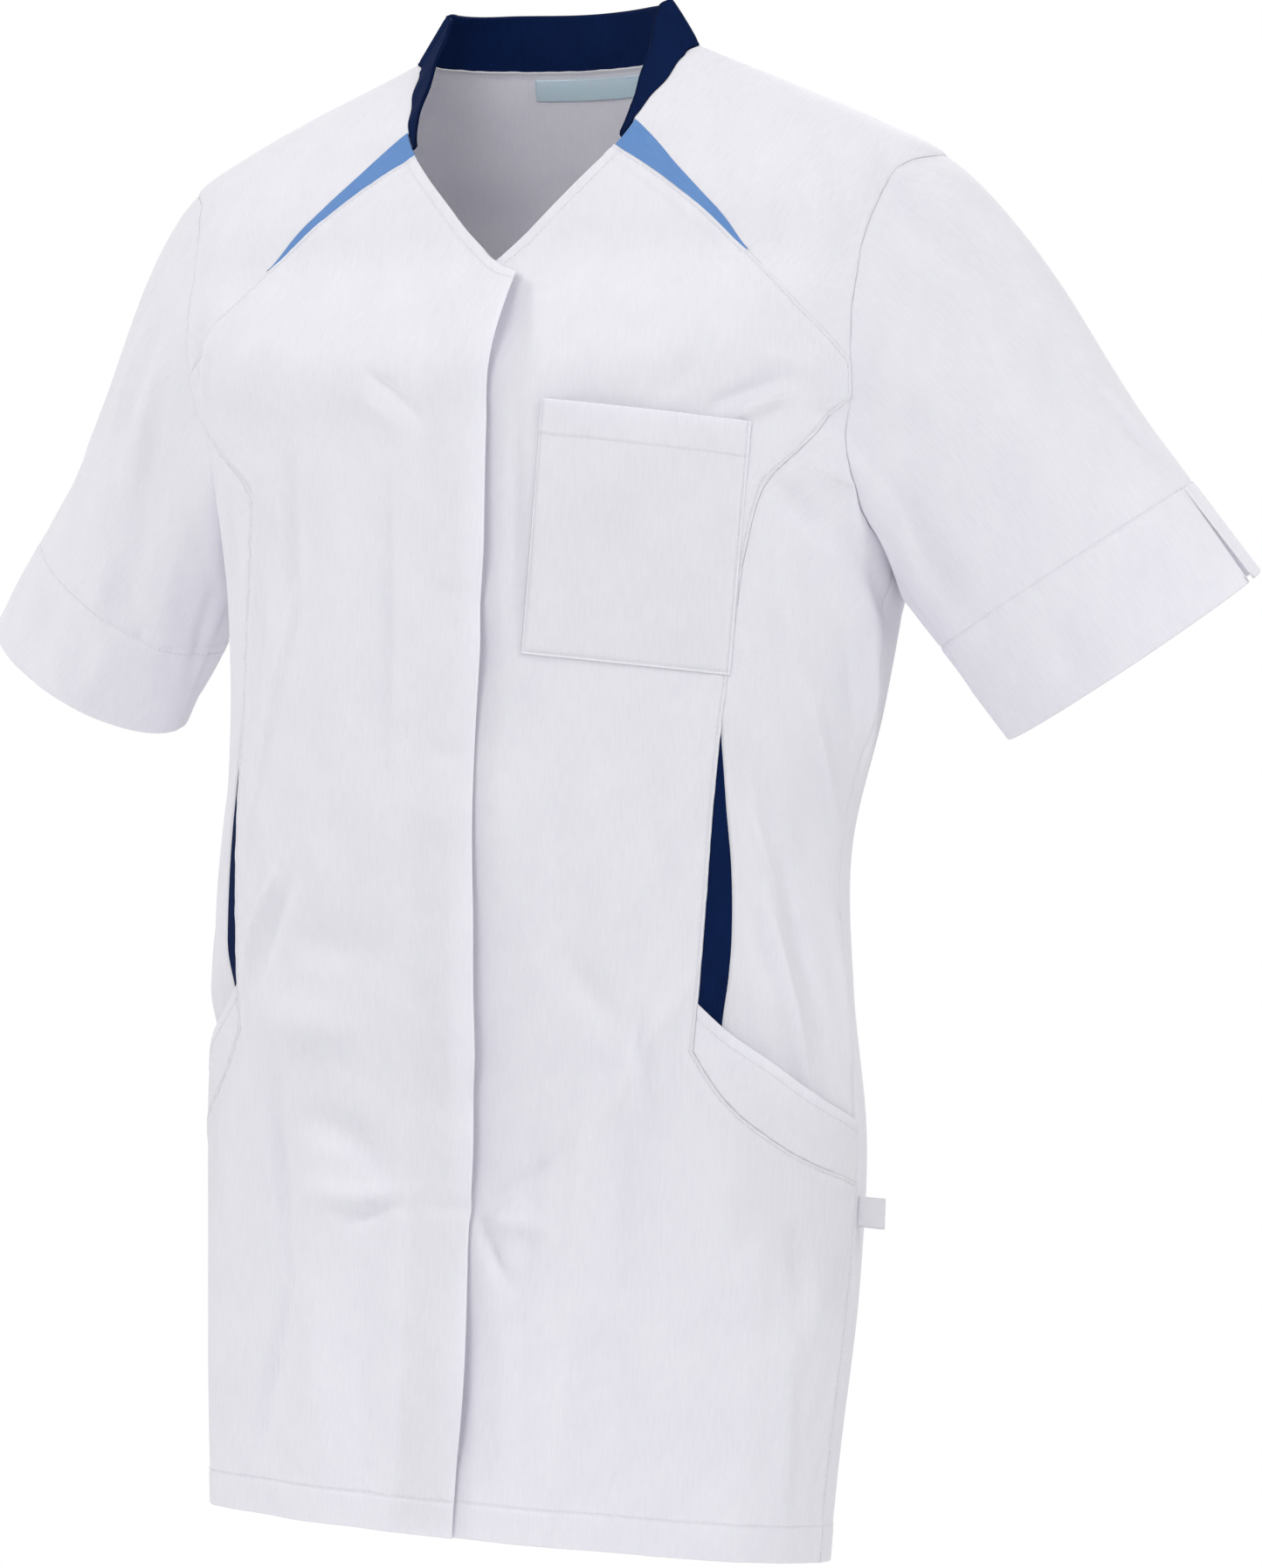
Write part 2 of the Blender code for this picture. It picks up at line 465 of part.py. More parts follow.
def sleeve(name, side, table, lines):
    """A set-in short sleeve: from the armhole over a rounded cap to the arm and the vented cuff."""
    hole = armhole(lines)
    mirror = np.array([side, 1, 1])
    root = skin(side, hole[:, 0], hole[:, 1]) * mirror
    steps = np.linalg.norm(np.roll(root, -1, 0) - root, axis=1)
    travelled = np.concatenate([[0], np.cumsum(steps)[:-1]])
    under = int(np.argmin(root[:, 2]))
    front_share = travelled[:under + 1] / travelled[under]
    back_share = (travelled[under:] - travelled[under]) / (steps.sum() - travelled[under])
    angle = np.pi * np.concatenate([front_share, 1 + back_share[1:]])
    arm, cuff = ring(table["arm"], angle), ring(table["cuff"], angle)
    axis = cuff.mean(0) - arm.mean(0)
    axis = axis / np.linalg.norm(axis)
    cap = (0.5 + 0.5 * np.cos(angle))[:, None]
    leave = cap * CAP_OUT + (1 - cap) * axis
    leave = leave / np.linalg.norm(leave, axis=1, keepdims=True)
    clear = UNDER_CLEAR * (1 - cap) * outward(swing(side, hole[:, 0], hole[:, 1]), hole[:, 1]) * mirror
    root = root + SEAM_GAP * leave + clear
    span = np.linalg.norm(arm - root, axis=1, keepdims=True)
    rows = [along_hermite(root, arm, leave * span, axis * span, u) for u in np.linspace(0, 1, CAP_ROWS + 1)]
    length = np.linalg.norm(cuff.mean(0) - arm.mean(0))
    band_top = 1 - CUFF_BAND / length
    rows += [arm + (cuff - arm) * u for u in np.linspace(0, band_top, ARM_ROWS + 1)[1:]]
    rows += [arm + (cuff - arm) * u for u in np.linspace(band_top, 1, CUFF_ROWS + 1)[1:]]
    grid = np.roll(np.array(rows), -VENT_COLUMN, axis=1)
    around = np.roll(grid, -1, 1) - np.roll(grid, 1, 1)
    down = np.gradient(grid, axis=0)
    normal = np.cross(down, around)
    normal = normal / np.linalg.norm(normal, axis=-1, keepdims=True)
    if (normal[-1] * (grid[-1] - grid[-1].mean(0))).sum() < 0:
        normal = -normal
    closed_rows, columns = CAP_ROWS + ARM_ROWS + 1, grid.shape[1]
    rows_total = len(grid)
    opening = np.zeros(rows_total)
    opening[closed_rows - 1:] = np.linspace(0, VENT_OPEN / 2, CUFF_ROWS + 1)
    tangent = around[:, 0] / np.linalg.norm(around[:, 0], axis=-1, keepdims=True)
    last = grid[:, 0] - tangent * opening[:, None]
    grid[:, 0] = grid[:, 0] + tangent * opening[:, None]
    outer = np.concatenate([grid, last[:, None]], 1)
    inner = outer - CLOTH * np.concatenate([normal, normal[:, :1]], 1)
    quads = grid_quads(rows_total, columns + 1)
    for row in range(closed_rows):
        quads[quads == row * (columns + 1) + columns] = row * (columns + 1)
    used = np.unique(quads)
    renumber = np.zeros(rows_total * (columns + 1), int)
    renumber[used] = np.arange(len(used))
    outer = outer.reshape(-1, 3)[used] * mirror
    inner = inner.reshape(-1, 3)[used] * mirror
    return wall(name, outer, inner, renumber[quads], WHITE)


def collar(lines):
    """The stand collar: it leans in, stands highest from side to side over the back, and tapers in front."""
    tip = seam(COLLAR_TIP, 3)
    half = join(tip, lines["neck"])
    mirrored = np.stack([360 - half[::-1, 0], half[::-1, 1]], -1)
    places = join(half, lines["neck_back"], mirrored)
    base = surface(places[:, 0], places[:, 1])
    centre = np.array([0.0, base[:, 1].mean(), 0.0])
    inwards = (centre - base) * (1, 1, 0)
    inwards = inwards / np.linalg.norm(inwards, axis=1, keepdims=True)
    steps = np.linalg.norm(np.diff(base, axis=0), axis=1)
    travelled = np.concatenate([[0], np.cumsum(steps)])
    from_tip = np.minimum(travelled, travelled[-1] - travelled)
    height = STAND_TIP + (STAND - STAND_TIP) * np.clip(from_tip / STAND_RUN, 0, 1)
    turn_from_front = np.minimum(places[:, 0], 360 - places[:, 0])
    back = smooth(turn_from_front, 95, 165)
    lean = np.radians(STAND_LEAN[0] * (1 - back) + STAND_LEAN[1] * back)[:, None]
    rise = np.cos(lean) * np.array([0.0, 0.0, 1.0]) + np.sin(lean) * inwards
    share = np.linspace(0, 1, COLLAR_ROWS + 1)[:, None, None]
    grid = base + SEAM_GAP * rise + share * (height[:, None] * rise)[None]
    normal = np.cross(np.gradient(grid, axis=1), np.gradient(grid, axis=0))
    normal = normal / np.linalg.norm(normal, axis=-1, keepdims=True)
    if (normal * (grid - centre)).sum() < 0:
        normal = -normal
    inner = grid - COLLAR_CLOTH * normal
    rows, columns = grid.shape[:2]
    return wall("collar", grid.reshape(-1, 3), inner.reshape(-1, 3), grid_quads(rows, columns), NAVY)


def corner_patch(corners, across, down):
    """A straight-sided patch of places from its four corners: top left, top right, then the lower two."""
    corners = np.array(corners)
    top = np.linspace(corners[0], corners[1], across + 1)
    bottom = np.linspace(corners[2], corners[3], across + 1)
    return np.linspace(top, bottom, down + 1)


def chest_pocket():
    """The patch pocket on the left front, sewn at its sides and foot, standing off a little between."""
    places = corner_patch(CHEST_POCKET, POCKET_STEPS, POCKET_STEPS)
    across = np.sin(np.linspace(0, np.pi, POCKET_STEPS + 1))[None, :]
    down = np.cos(np.linspace(0, np.pi / 2, POCKET_STEPS + 1))[:, None]
    out = PATCH_GAP + CLOTH + POCKET_FULLNESS * across * down
    return panel("chest_pocket", 1, places, WHITE, out=out)


def neck_label(back, shoulder):
    """A bare woven label inside the back neck, made from the back's own points and moved in from them."""
    first, last = (len(shoulder) - 1 + column for column in LABEL_COLUMNS)
    turn, height = back[:2, first:last + 1, 0], back[:2, first:last + 1, 1]
    cloth, out = skin(1, turn, height, -CLOTH), outward(turn, height)
    share = np.array(LABEL_SPAN)[:, None, None]
    place, out = cloth[0] * (1 - share) + cloth[1] * share, out[0] * (1 - share) + out[1] * share
    near, far = place - LABEL_GAP * out, place - (LABEL_GAP + TAG_CLOTH) * out
    columns = place.shape[1]
    return wall("neck_label", near.reshape(-1, 3), far.reshape(-1, 3), grid_quads(2, columns), PALE)


def side_tag():
    """A bare folded tag caught in the left side seam, standing straight out of it."""
    turn, height = TAG_PLACE
    foot = skin(1, np.array([turn, turn]), np.array([height, height - TAG[1]]), TAG_GAP)
    out = outward(np.array(turn), np.array(height))
    front = np.concatenate([foot, (foot + TAG[0] * out)])
    across = np.cross(out, (0.0, 0.0, 1.0))
    return wall("side_tag", front, front + TAG_CLOTH * across, np.array([[0, 1, 3, 2]]), WHITE)


def clear_scene():
    """Removes whatever the file holds at the start."""
    for thing in list(bpy.data.objects):
        bpy.data.objects.remove(thing, do_unlink=True)


def main():
    clear_scene()
    lines = seam_lines()
    front = front_places(lines)
    panel("front_left", 1, front, WHITE)
    panel("front_right", -1, front, WHITE, out=placket_lift(front))
    for side, word in ((1, "left"), (-1, "right")):
        side_panel("side_front_" + word, side, lines)
        wedge_neck = np.linspace(lines["wedge_low"][0], lines["wedge_high"][0], WEDGE_COLUMNS + 1)
        wedge_point = np.linspace(lines["wedge_low"][-1], lines["wedge_high"][-1], WEDGE_COLUMNS + 1)
        wedge = fill(wedge_neck, wedge_point, lines["wedge_low"], lines["wedge_high"])
        panel("wedge_" + word, side, wedge, BLUE)
        inset_top = np.linspace(lines["inset_inner"][0], lines["inset_outer"][0], WEDGE_COLUMNS + 1)
        inset_foot = np.linspace(lines["inset_inner"][-1], lines["inset_outer"][-1], WEDGE_COLUMNS + 1)
        inset = fill(inset_top, inset_foot, lines["inset_inner"], lines["inset_outer"])
        panel("inset_" + word, side, inset, NAVY)
        welt = fill(lines["mouth"], lines["welt_low"], lines["welt_end"], lines["side_welt"])
        panel("pocket_welt_" + word, side, welt, WHITE)
        yoke_front = np.concatenate([lines["wedge_high"], lines["yoke"]])
        yoke_arm = join(lines["arm_yoke_front"], lines["arm_yoke_back"])
        yoke = fill(yoke_front, lines["shoulder"], lines["neck"], yoke_arm)
        panel("yoke_" + word, side, yoke, WHITE)
        sleeve("sleeve_" + word, side, LEFT_SLEEVE if side > 0 else RIGHT_SLEEVE, lines)
    collar(lines)
    chest_pocket()
    side_tag()
    back_side = join(lines["arm_back"], lines["side"], lines["side_welt"], lines["side_low"])
    other_side = np.stack([360 - back_side[:, 0], back_side[:, 1]], -1)
    other_shoulder = np.stack([360 - lines["shoulder"][:, 0], lines["shoulder"][:, 1]], -1)
    top = join(lines["shoulder"][::-1], lines["neck_back"], other_shoulder)
    hem = hem_line(np.linspace(SIDE_TURN, 360 - SIDE_TURN, len(top)))
    hem[0], hem[-1] = back_side[-1], other_side[-1]
    back = fill(top, hem, back_side, other_side)
    panel("back", 1, back, WHITE)
    neck_label(back, lines["shoulder"])


main()
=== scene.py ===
# %% [markdown]
# # A nurse's uniform dress, as thin sewn cloth
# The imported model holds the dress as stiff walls, one for each piece that a maker cuts. This lesson dresses
# each wall with thin cloth of the same form: folds placed by hand, pressed seams, stitches and woven finishes.

# %% Load the frame
import json
import bpy
import numpy as np
from mathutils import Matrix

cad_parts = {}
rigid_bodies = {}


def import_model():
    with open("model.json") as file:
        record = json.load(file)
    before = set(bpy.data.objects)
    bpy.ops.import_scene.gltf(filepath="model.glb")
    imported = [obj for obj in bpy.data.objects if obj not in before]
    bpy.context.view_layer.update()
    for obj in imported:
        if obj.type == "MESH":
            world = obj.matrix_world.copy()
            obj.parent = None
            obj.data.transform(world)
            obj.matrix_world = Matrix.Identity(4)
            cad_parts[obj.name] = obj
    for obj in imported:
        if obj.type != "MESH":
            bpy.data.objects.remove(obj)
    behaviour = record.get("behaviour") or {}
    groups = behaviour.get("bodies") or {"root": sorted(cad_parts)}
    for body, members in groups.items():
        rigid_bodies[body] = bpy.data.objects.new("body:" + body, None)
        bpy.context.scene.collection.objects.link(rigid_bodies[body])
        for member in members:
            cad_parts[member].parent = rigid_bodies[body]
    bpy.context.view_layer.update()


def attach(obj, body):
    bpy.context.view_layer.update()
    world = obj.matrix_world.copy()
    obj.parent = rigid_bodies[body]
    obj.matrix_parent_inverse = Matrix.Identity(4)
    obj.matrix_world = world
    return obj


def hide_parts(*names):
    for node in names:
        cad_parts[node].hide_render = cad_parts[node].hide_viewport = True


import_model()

# %% [markdown]
# ## The camera
# A camera can be aimed by a constraint, but its three axes are easy to work out and stay plain numbers. This
# one stands a little to the wearer's left and a touch low, and it is rolled by two degrees.

# %% Camera at the picture's angle
CAMERA_TURN = 22.6     # degrees round from straight in front, towards the wearer's left
CAMERA_RISE = -2.5     # degrees above level, so it looks slightly up
CAMERA_ROLL = 2.0
CAMERA_AWAY = 2.0      # metres
CAMERA_LENS = 80.2     # mm, on a sensor 36 mm high
AIM = np.array([0.055, 0.0, -0.4075])


def camera_axes(turn, rise, roll):
    """The camera's own X, Y and Z: Z points back at it, X is level and square to Z, then both are rolled."""
    turn, rise, roll = np.radians([turn, rise, roll])
    back = np.array([np.sin(turn) * np.cos(rise), -np.cos(turn) * np.cos(rise), np.sin(rise)])
    right = np.array([np.cos(turn), np.sin(turn), 0.0])
    up = np.cross(back, right)
    return np.cos(roll) * right + np.sin(roll) * up, np.cos(roll) * up - np.sin(roll) * right, back


axes = camera_axes(CAMERA_TURN, CAMERA_RISE, CAMERA_ROLL)
camera_data = bpy.data.cameras.new("camera")
camera_data.lens = CAMERA_LENS
camera_data.sensor_width = 36.0
camera = bpy.data.objects.new("camera", camera_data)
bpy.context.scene.collection.objects.link(camera)
placing = np.eye(4)
placing[:3] = np.stack([*axes, AIM + CAMERA_AWAY * axes[2]], 1)
camera.matrix_world = Matrix(placing.tolist())
bpy.context.scene.camera = camera
print("camera at", np.round(placing[:3, 3], 3).tolist())

# %% [markdown]
# ## Colours and nodes
# A hex value is how a colour is usually written down, but a shader wants linear light. One function turns
# one into the other, and one small function adds any node with its settings and its links.

# %% Linear colours and a node helper


def linear(colour):
    """sRGB hex to linear: below 0.04045 a straight line, above it a power of 2.4."""
    value = np.array([int(colour[i:i + 2], 16) for i in (1, 3, 5)]) / 255
    return (*np.where(value <= 0.04045, value / 12.92, ((value + 0.055) / 1.055) ** 2.4).tolist(), 1.0)


def add(tree, kind, inputs=None, **settings):
    """Adds a node. A socket among the inputs is linked, anything else is set as the input's value."""
    new = tree.nodes.new(kind)
    for key, value in settings.items():
        setattr(new, key, value)
    for key, value in (inputs or {}).items():
        if isinstance(value, bpy.types.NodeSocket):
            tree.links.new(value, new.inputs[key])
        else:
            new.inputs[key].default_value = value
    return new


print("white in linear light:", np.round(linear("#E4E2EA"), 3).tolist())

# %% [markdown]
# ## Studio light
# The picture is high-key: pure white behind, and soft light from all round with a little more from above on
# the left. A white world could do both, but one bright enough for the ground would burn out the cloth. So the
# world is white where the camera sees it and dimmer as a light, and two area lights give the folds their shade.

# %% World, lights and floor
WORLD_SEEN, WORLD_LIGHT = 1.0, 0.58
FLOOR_HEIGHT = -1.45      # a standing wearer's neck is about this far above the floor
FLOOR_SIZE = 4.4


def area_light(name, place, aim, size, watts):
    """A square soft light at a place, turned so that its own minus Z looks at the aim."""
    data = bpy.data.lights.new(name, "AREA")
    data.size, data.energy = size, watts
    light = bpy.data.objects.new(name, data)
    bpy.context.scene.collection.objects.link(light)
    z = np.array(place, float) - aim
    z /= np.linalg.norm(z)
    x = np.cross((0, 0, 1), z)
    x /= np.linalg.norm(x)
    matrix = np.eye(4)
    matrix[:3] = np.stack([x, np.cross(z, x), z, place], 1)
    light.matrix_world = Matrix(matrix.tolist())
    light.visible_camera = False
    return light


world = bpy.data.worlds.new("white studio")
world.use_nodes = True
world.node_tree.nodes.clear()
ray = add(world.node_tree, "ShaderNodeLightPath")
strength = add(world.node_tree, "ShaderNodeMapRange", {"Value": ray.outputs["Is Camera Ray"],
                                                       "To Min": WORLD_LIGHT, "To Max": WORLD_SEEN})
sky = add(world.node_tree, "ShaderNodeBackground", {"Color": (1, 1, 1, 1), "Strength": strength.outputs[0]})
add(world.node_tree, "ShaderNodeOutputWorld", {"Surface": sky.outputs[0]})
bpy.context.scene.world = world
bpy.context.scene.view_settings.view_transform = "Standard"
bpy.context.scene.view_settings.exposure = 0.0
area_light("front", (0.15, -2.4, 0.1), (0, 0, -0.4), 0.8, 13.0)
area_light("left", (-1.7, -0.8, 1.3), (0, 0, -0.3), 0.6, 13.0)
area_light("right", (2.0, -0.8, 1.0), (0, 0, -0.4), 0.7, 14.0)
area_light("back", (0.0, 1.7, 1.5), (0, 0, -0.2), 0.8, 16.0)

floor_mesh = bpy.data.meshes.new("floor")
half = FLOOR_SIZE / 2
floor_mesh.from_pydata([(-half, -half, FLOOR_HEIGHT), (half, -half, FLOOR_HEIGHT),
                        (half, half, FLOOR_HEIGHT), (-half, half, FLOOR_HEIGHT)], [], [(0, 1, 2, 3)])
floor = bpy.data.objects.new("floor", floor_mesh)
bpy.context.scene.collection.objects.link(floor)
paper = bpy.data.materials.new("white paper sweep")
paper.use_nodes = True
paper_shader = paper.node_tree.nodes["Principled BSDF"]
paper_shader.inputs["Base Color"].default_value = linear("#F6F6F8")
paper_shader.inputs["Roughness"].default_value = 0.9
floor_mesh.materials.append(paper)

# %% [markdown]
# ## Woven finishes
# The dress is poly-cotton twill: polyester keeps it smooth and a little bright, cotton keeps it matt. Its
# threads are half a millimetre apart, too fine to show from a step away, so the ribs are drawn at 1.1 mm and
# kept faint. The pattern lies on each piece's own cloth measure in metres, so it follows the grain of the cut.

# %% Poly-cotton twill
RIB = 0.0011              # metres between the drawn ribs, about twice the real ones
WAVE_PERIOD = 0.31416     # a wave texture of scale 1 repeats after this length
SLUB = 90.0               # thicker threads, about 11 mm apart
HANDLING = 26.0           # soft unevenness of the pressed cloth, about 40 mm across


def twill(name, light, dark, roughness, sheen, bump=0.00006, glow=0.0, specular=0.25):
    """Diagonal ribs as a height, slubs that shift the colour a little, and a broad soft unevenness."""
    material = bpy.data.materials.new(name)
    material.use_nodes = True
    tree = material.node_tree
    shader = tree.nodes["Principled BSDF"]
    cloth = add(tree, "ShaderNodeUVMap", uv_map="cloth")
    ribs = add(tree, "ShaderNodeTexWave", {"Vector": cloth.outputs[0], "Scale": WAVE_PERIOD / RIB / 1.41,
                                           "Distortion": 0.6, "Detail": 1.0},
               wave_type="BANDS", bands_direction="DIAGONAL")
    stretched = add(tree, "ShaderNodeMapping", {"Vector": cloth.outputs[0], "Scale": (1.0, 0.12, 1.0)})
    slubs = add(tree, "ShaderNodeTexNoise", {"Vector": stretched.outputs[0], "Scale": SLUB * 8, "Detail": 2.0})
    soft = add(tree, "ShaderNodeTexNoise", {"Vector": cloth.outputs[0], "Scale": HANDLING, "Detail": 3.0})
    mixed = add(tree, "ShaderNodeMath", {0: slubs.outputs[0], 1: soft.outputs[0]}, operation="ADD")
    share = add(tree, "ShaderNodeMapRange", {"Value": mixed.outputs[0], "From Min": 0.6, "From Max": 1.4})
    colour = add(tree, "ShaderNodeMix", {0: share.outputs[0], 6: linear(dark), 7: linear(light)}, data_type="RGBA")
    tree.links.new(colour.outputs[2], shader.inputs["Base Color"])
    weave = add(tree, "ShaderNodeBump", {"Height": ribs.outputs["Fac"], "Distance": bump, "Strength": 0.5})
    drape = add(tree, "ShaderNodeBump", {"Height": soft.outputs[0], "Distance": 0.0012, "Strength": 0.35,
                                         "Normal": weave.outputs[0]})
    tree.links.new(drape.outputs[0], shader.inputs["Normal"])
    shader.inputs["Roughness"].default_value = roughness
    shader.inputs["Sheen Weight"].default_value = sheen
    shader.inputs["Sheen Roughness"].default_value = 0.45
    shader.inputs["Specular IOR Level"].default_value = specular
    shader.inputs["Subsurface Weight"].default_value = glow
    shader.inputs["Subsurface Radius"].default_value = (1.0, 1.0, 1.0)
    shader.inputs["Subsurface Scale"].default_value = 0.002
    return material


# White twill: a cool, slightly lilac white with a soft matt glow.
WHITE = twill("white poly-cotton twill", "#EDECF4", "#E5E4ED", 0.82, 0.12, glow=0.7)
# Navy twill: nearly black blue, whose ribs catch a little grey light.
NAVY = twill("navy poly-cotton twill", "#031D4A", "#01143A", 0.80, 0.0, 0.00010, specular=0.10)
# Light blue twill: a clear flat blue.
BLUE = twill("light blue poly-cotton twill", "#6A92C9", "#5F89C2", 0.78, 0.08)
print("twills:", WHITE.name, NAVY.name, BLUE.name, sep=", ")

# %% [markdown]
# ## Satin tape and thread
# The neck label is a satin-woven tape, so it is smoother than the twill and shows a bright sheen. Sewing
# thread is polyester too: each stitch is a small rounded bead of it.

# %% Label tape, tag tape and sewing thread


def plain_weave(name, colour, roughness, sheen, spacing, glow=0.0, specular=0.5):
    """A fine tape: lines across the cloth measure at the given spacing, as bump and a slight colour change."""
    material = bpy.data.materials.new(name)
    material.use_nodes = True
    tree = material.node_tree
    shader = tree.nodes["Principled BSDF"]
    cloth = add(tree, "ShaderNodeUVMap", uv_map="cloth")
    lines = add(tree, "ShaderNodeTexWave", {"Vector": cloth.outputs[0], "Scale": WAVE_PERIOD / spacing},
                wave_type="BANDS", bands_direction="Y")
    tone = add(tree, "ShaderNodeHueSaturation", {"Color": linear(colour)})
    level = add(tree, "ShaderNodeMapRange", {"Value": lines.outputs["Fac"], "To Min": 0.95, "To Max": 1.03})
    tree.links.new(level.outputs[0], tone.inputs["Value"])
    tree.links.new(tone.outputs[0], shader.inputs["Base Color"])
    bump = add(tree, "ShaderNodeBump", {"Height": lines.outputs["Fac"], "Distance": 0.00008, "Strength": 0.5})
    tree.links.new(bump.outputs[0], shader.inputs["Normal"])
    shader.inputs["Roughness"].default_value = roughness
    shader.inputs["Sheen Weight"].default_value = sheen
    shader.inputs["Specular IOR Level"].default_value = specular
    shader.inputs["Subsurface Weight"].default_value = glow
    shader.inputs["Subsurface Scale"].default_value = 0.002
    return material


# Pale blue satin tape: light and smooth.
LABEL_TAPE = plain_weave("pale blue satin label tape", "#D9F0FF", 0.36, 0.8, 0.0008, glow=0.4, specular=0.8)
# White tape of the side tag.
TAG_TAPE = plain_weave("white woven tag tape", "#DCDBE0", 0.5, 0.1, 0.0008)
# Spun polyester thread, white and navy.
WHITE_THREAD = plain_weave("white polyester thread", "#ECEAF0", 0.55, 0.1, 0.0006)
NAVY_THREAD = plain_weave("navy polyester thread", "#1B2B4C", 0.5, 0.2, 0.0006)
print("materials:", len(bpy.data.materials))

# %% [markdown]
# ## The body's form
# The stiff walls were made on one rounded form, and the cloth has to lie on the same one. A place on it is a
# turn about the upright axis and a height: 0 degrees is the centre front, 90 the wearer's left side.

# %% Level sections, largest folds and seams, in the frame's own sizes
# Level sections of the body, from the neck down. The front and back depths are from the axis.
SECTION_COLUMNS = ("height", "left_width", "right_width", "front_depth", "back_depth", "axis_y",
                   "front_squareness", "back_squareness")
SECTIONS = np.array([
    (0.030, 0.056, 0.056, 0.0040, 0.050, -0.022, 2.00, 2.00),
    (0.018, 0.0790, 0.0755, 0.0045, 0.066, -0.022, 2.00, 2.00),
    (0.012, 0.0910, 0.0875, 0.0060, 0.070, -0.022, 2.00, 2.00),
    (0.004, 0.109, 0.106, 0.0140, 0.075, -0.021, 2.00, 2.00),
    (-0.013, 0.148, 0.148, 0.0310, 0.086, -0.018, 2.00, 2.00),
    (-0.036, 0.199, 0.199, 0.0550, 0.099, -0.0125, 2.00, 2.00),
    (-0.055, 0.234, 0.235, 0.0690, 0.110, -0.006, 2.05, 2.00),
    (-0.070, 0.236, 0.239, 0.0755, 0.117, -0.005, 2.30, 2.08),
    (-0.090, 0.233, 0.240, 0.0810, 0.124, -0.004, 2.75, 2.20),
    (-0.120, 0.228, 0.238, 0.0890, 0.131, -0.003, 2.90, 2.35),
    (-0.150, 0.222, 0.231, 0.1110, 0.136, -0.002, 2.75, 2.40),
    (-0.180, 0.218, 0.222, 0.1295, 0.139, -0.001, 2.55, 2.40),
    (-0.220, 0.214, 0.210, 0.1325, 0.141, 0.000, 2.40, 2.35),
    (-0.280, 0.210, 0.198, 0.1318, 0.137, 0.000, 2.30, 2.30),
    (-0.360, 0.200, 0.191, 0.1310, 0.121, 0.000, 2.25, 2.25),
    (-0.440, 0.1845, 0.191, 0.1305, 0.105, 0.000, 2.25, 2.25),
    (-0.520, 0.1885, 0.195, 0.1245, 0.097, 0.000, 2.25, 2.25),
    (-0.600, 0.1975, 0.197, 0.1165, 0.098, 0.000, 2.25, 2.25),
    (-0.680, 0.1945, 0.1925, 0.1155, 0.103, 0.000, 2.25, 2.25),
    (-0.780, 0.1865, 0.184, 0.1200, 0.106, 0.000, 2.25, 2.25),
    (-0.880, 0.1820, 0.176, 0.1245, 0.106, 0.000, 2.25, 2.25),
])

# The largest folds: soft ridges, and troughs where the depth is negative.
FOLD_COLUMNS = ("turn", "height", "half_turn", "half_height", "depth")
FOLDS = np.array([
    (64.0, -0.78, 9.0, 0.13, 0.0045),
    (44.0, -0.80, 8.0, 0.12, -0.0035),
    (24.0, -0.78, 9.0, 0.12, 0.0035),
    (-30.0, -0.76, 9.0, 0.13, 0.0035),
    (-48.0, -0.78, 8.0, 0.12, -0.0035),
    (-66.0, -0.76, 9.0, 0.13, 0.0045),
    (78.0, -0.42, 7.0, 0.10, -0.0040),
    (-78.0, -0.42, 7.0, 0.10, -0.0040),
    (96.0, -0.70, 9.0, 0.12, 0.0035),
    (-96.0, -0.70, 9.0, 0.12, 0.0035),
    (126.0, -0.46, 9.0, 0.12, 0.0045),
    (-126.0, -0.46, 9.0, 0.12, 0.0045),
    (150.0, -0.78, 11.0, 0.14, 0.0050),
    (-150.0, -0.78, 11.0, 0.14, 0.0050),
    (180.0, -0.44, 20.0, 0.10, -0.0050),
    (112.0, -0.22, 7.0, 0.07, 0.0040),
    (-112.0, -0.22, 7.0, 0.07, 0.0040),
])

# Seams of the wearer's left half, as (turn, height). The right half mirrors them.
NECK_POINT = (0.0, -0.1215)
WEDGE_LOW_CORNER = (43.0, -0.0540)
WEDGE_TOP = (53.0, -0.0380)
WEDGE_LOW = [WEDGE_LOW_CORNER, (50.3, -0.0700), (55.8, -0.0890), (59.1, -0.1043), (61.5, -0.1186)]
WEDGE_HIGH = [WEDGE_TOP, (54.6, -0.0610), (57.6, -0.0840), (60.2, -0.1021), (61.8, -0.1181)]
YOKE_SEAM = [(61.7, -0.1190), (65.0, -0.1500), (72.3, -0.1800)]
ARMHOLE_YOKE_FRONT = [(72.3, -0.1800), (72.4, -0.1537), (74.2, -0.1240), (76.6, -0.0942), (82.6, -0.0640), (90.0, -0.0550)]
ARMHOLE_YOKE_BACK = [(90.0, -0.0550), (97.0, -0.0660)]
ARMHOLE_FRONT = [(72.3, -0.1800), (73.1, -0.1983)]
ARMHOLE_SIDE = [(73.1, -0.1983), (74.4, -0.2340), (80.0, -0.2640), (90.0, -0.2780)]
ARMHOLE_BACK = [(97.0, -0.0660), (103.5, -0.1000), (106.5, -0.1500), (106.5, -0.2000), (101.0, -0.2560), (90.0, -0.2780)]
NECK_SEAM = [WEDGE_TOP, (62.0, -0.0250), (71.9, -0.0130), (84.0, 0.0040), (90.0, 0.0120), (97.0, 0.0135)]
NECK_BACK = [(97.0, 0.0135), (135.0, 0.0170), (180.0, 0.0180), (225.0, 0.0170), (263.0, 0.0135)]
SHOULDER_SEAM = [(97.0, 0.0135), (97.0, -0.0230), (97.0, -0.0660)]
COLLAR_TIP = [(45.5, -0.0500), WEDGE_TOP]
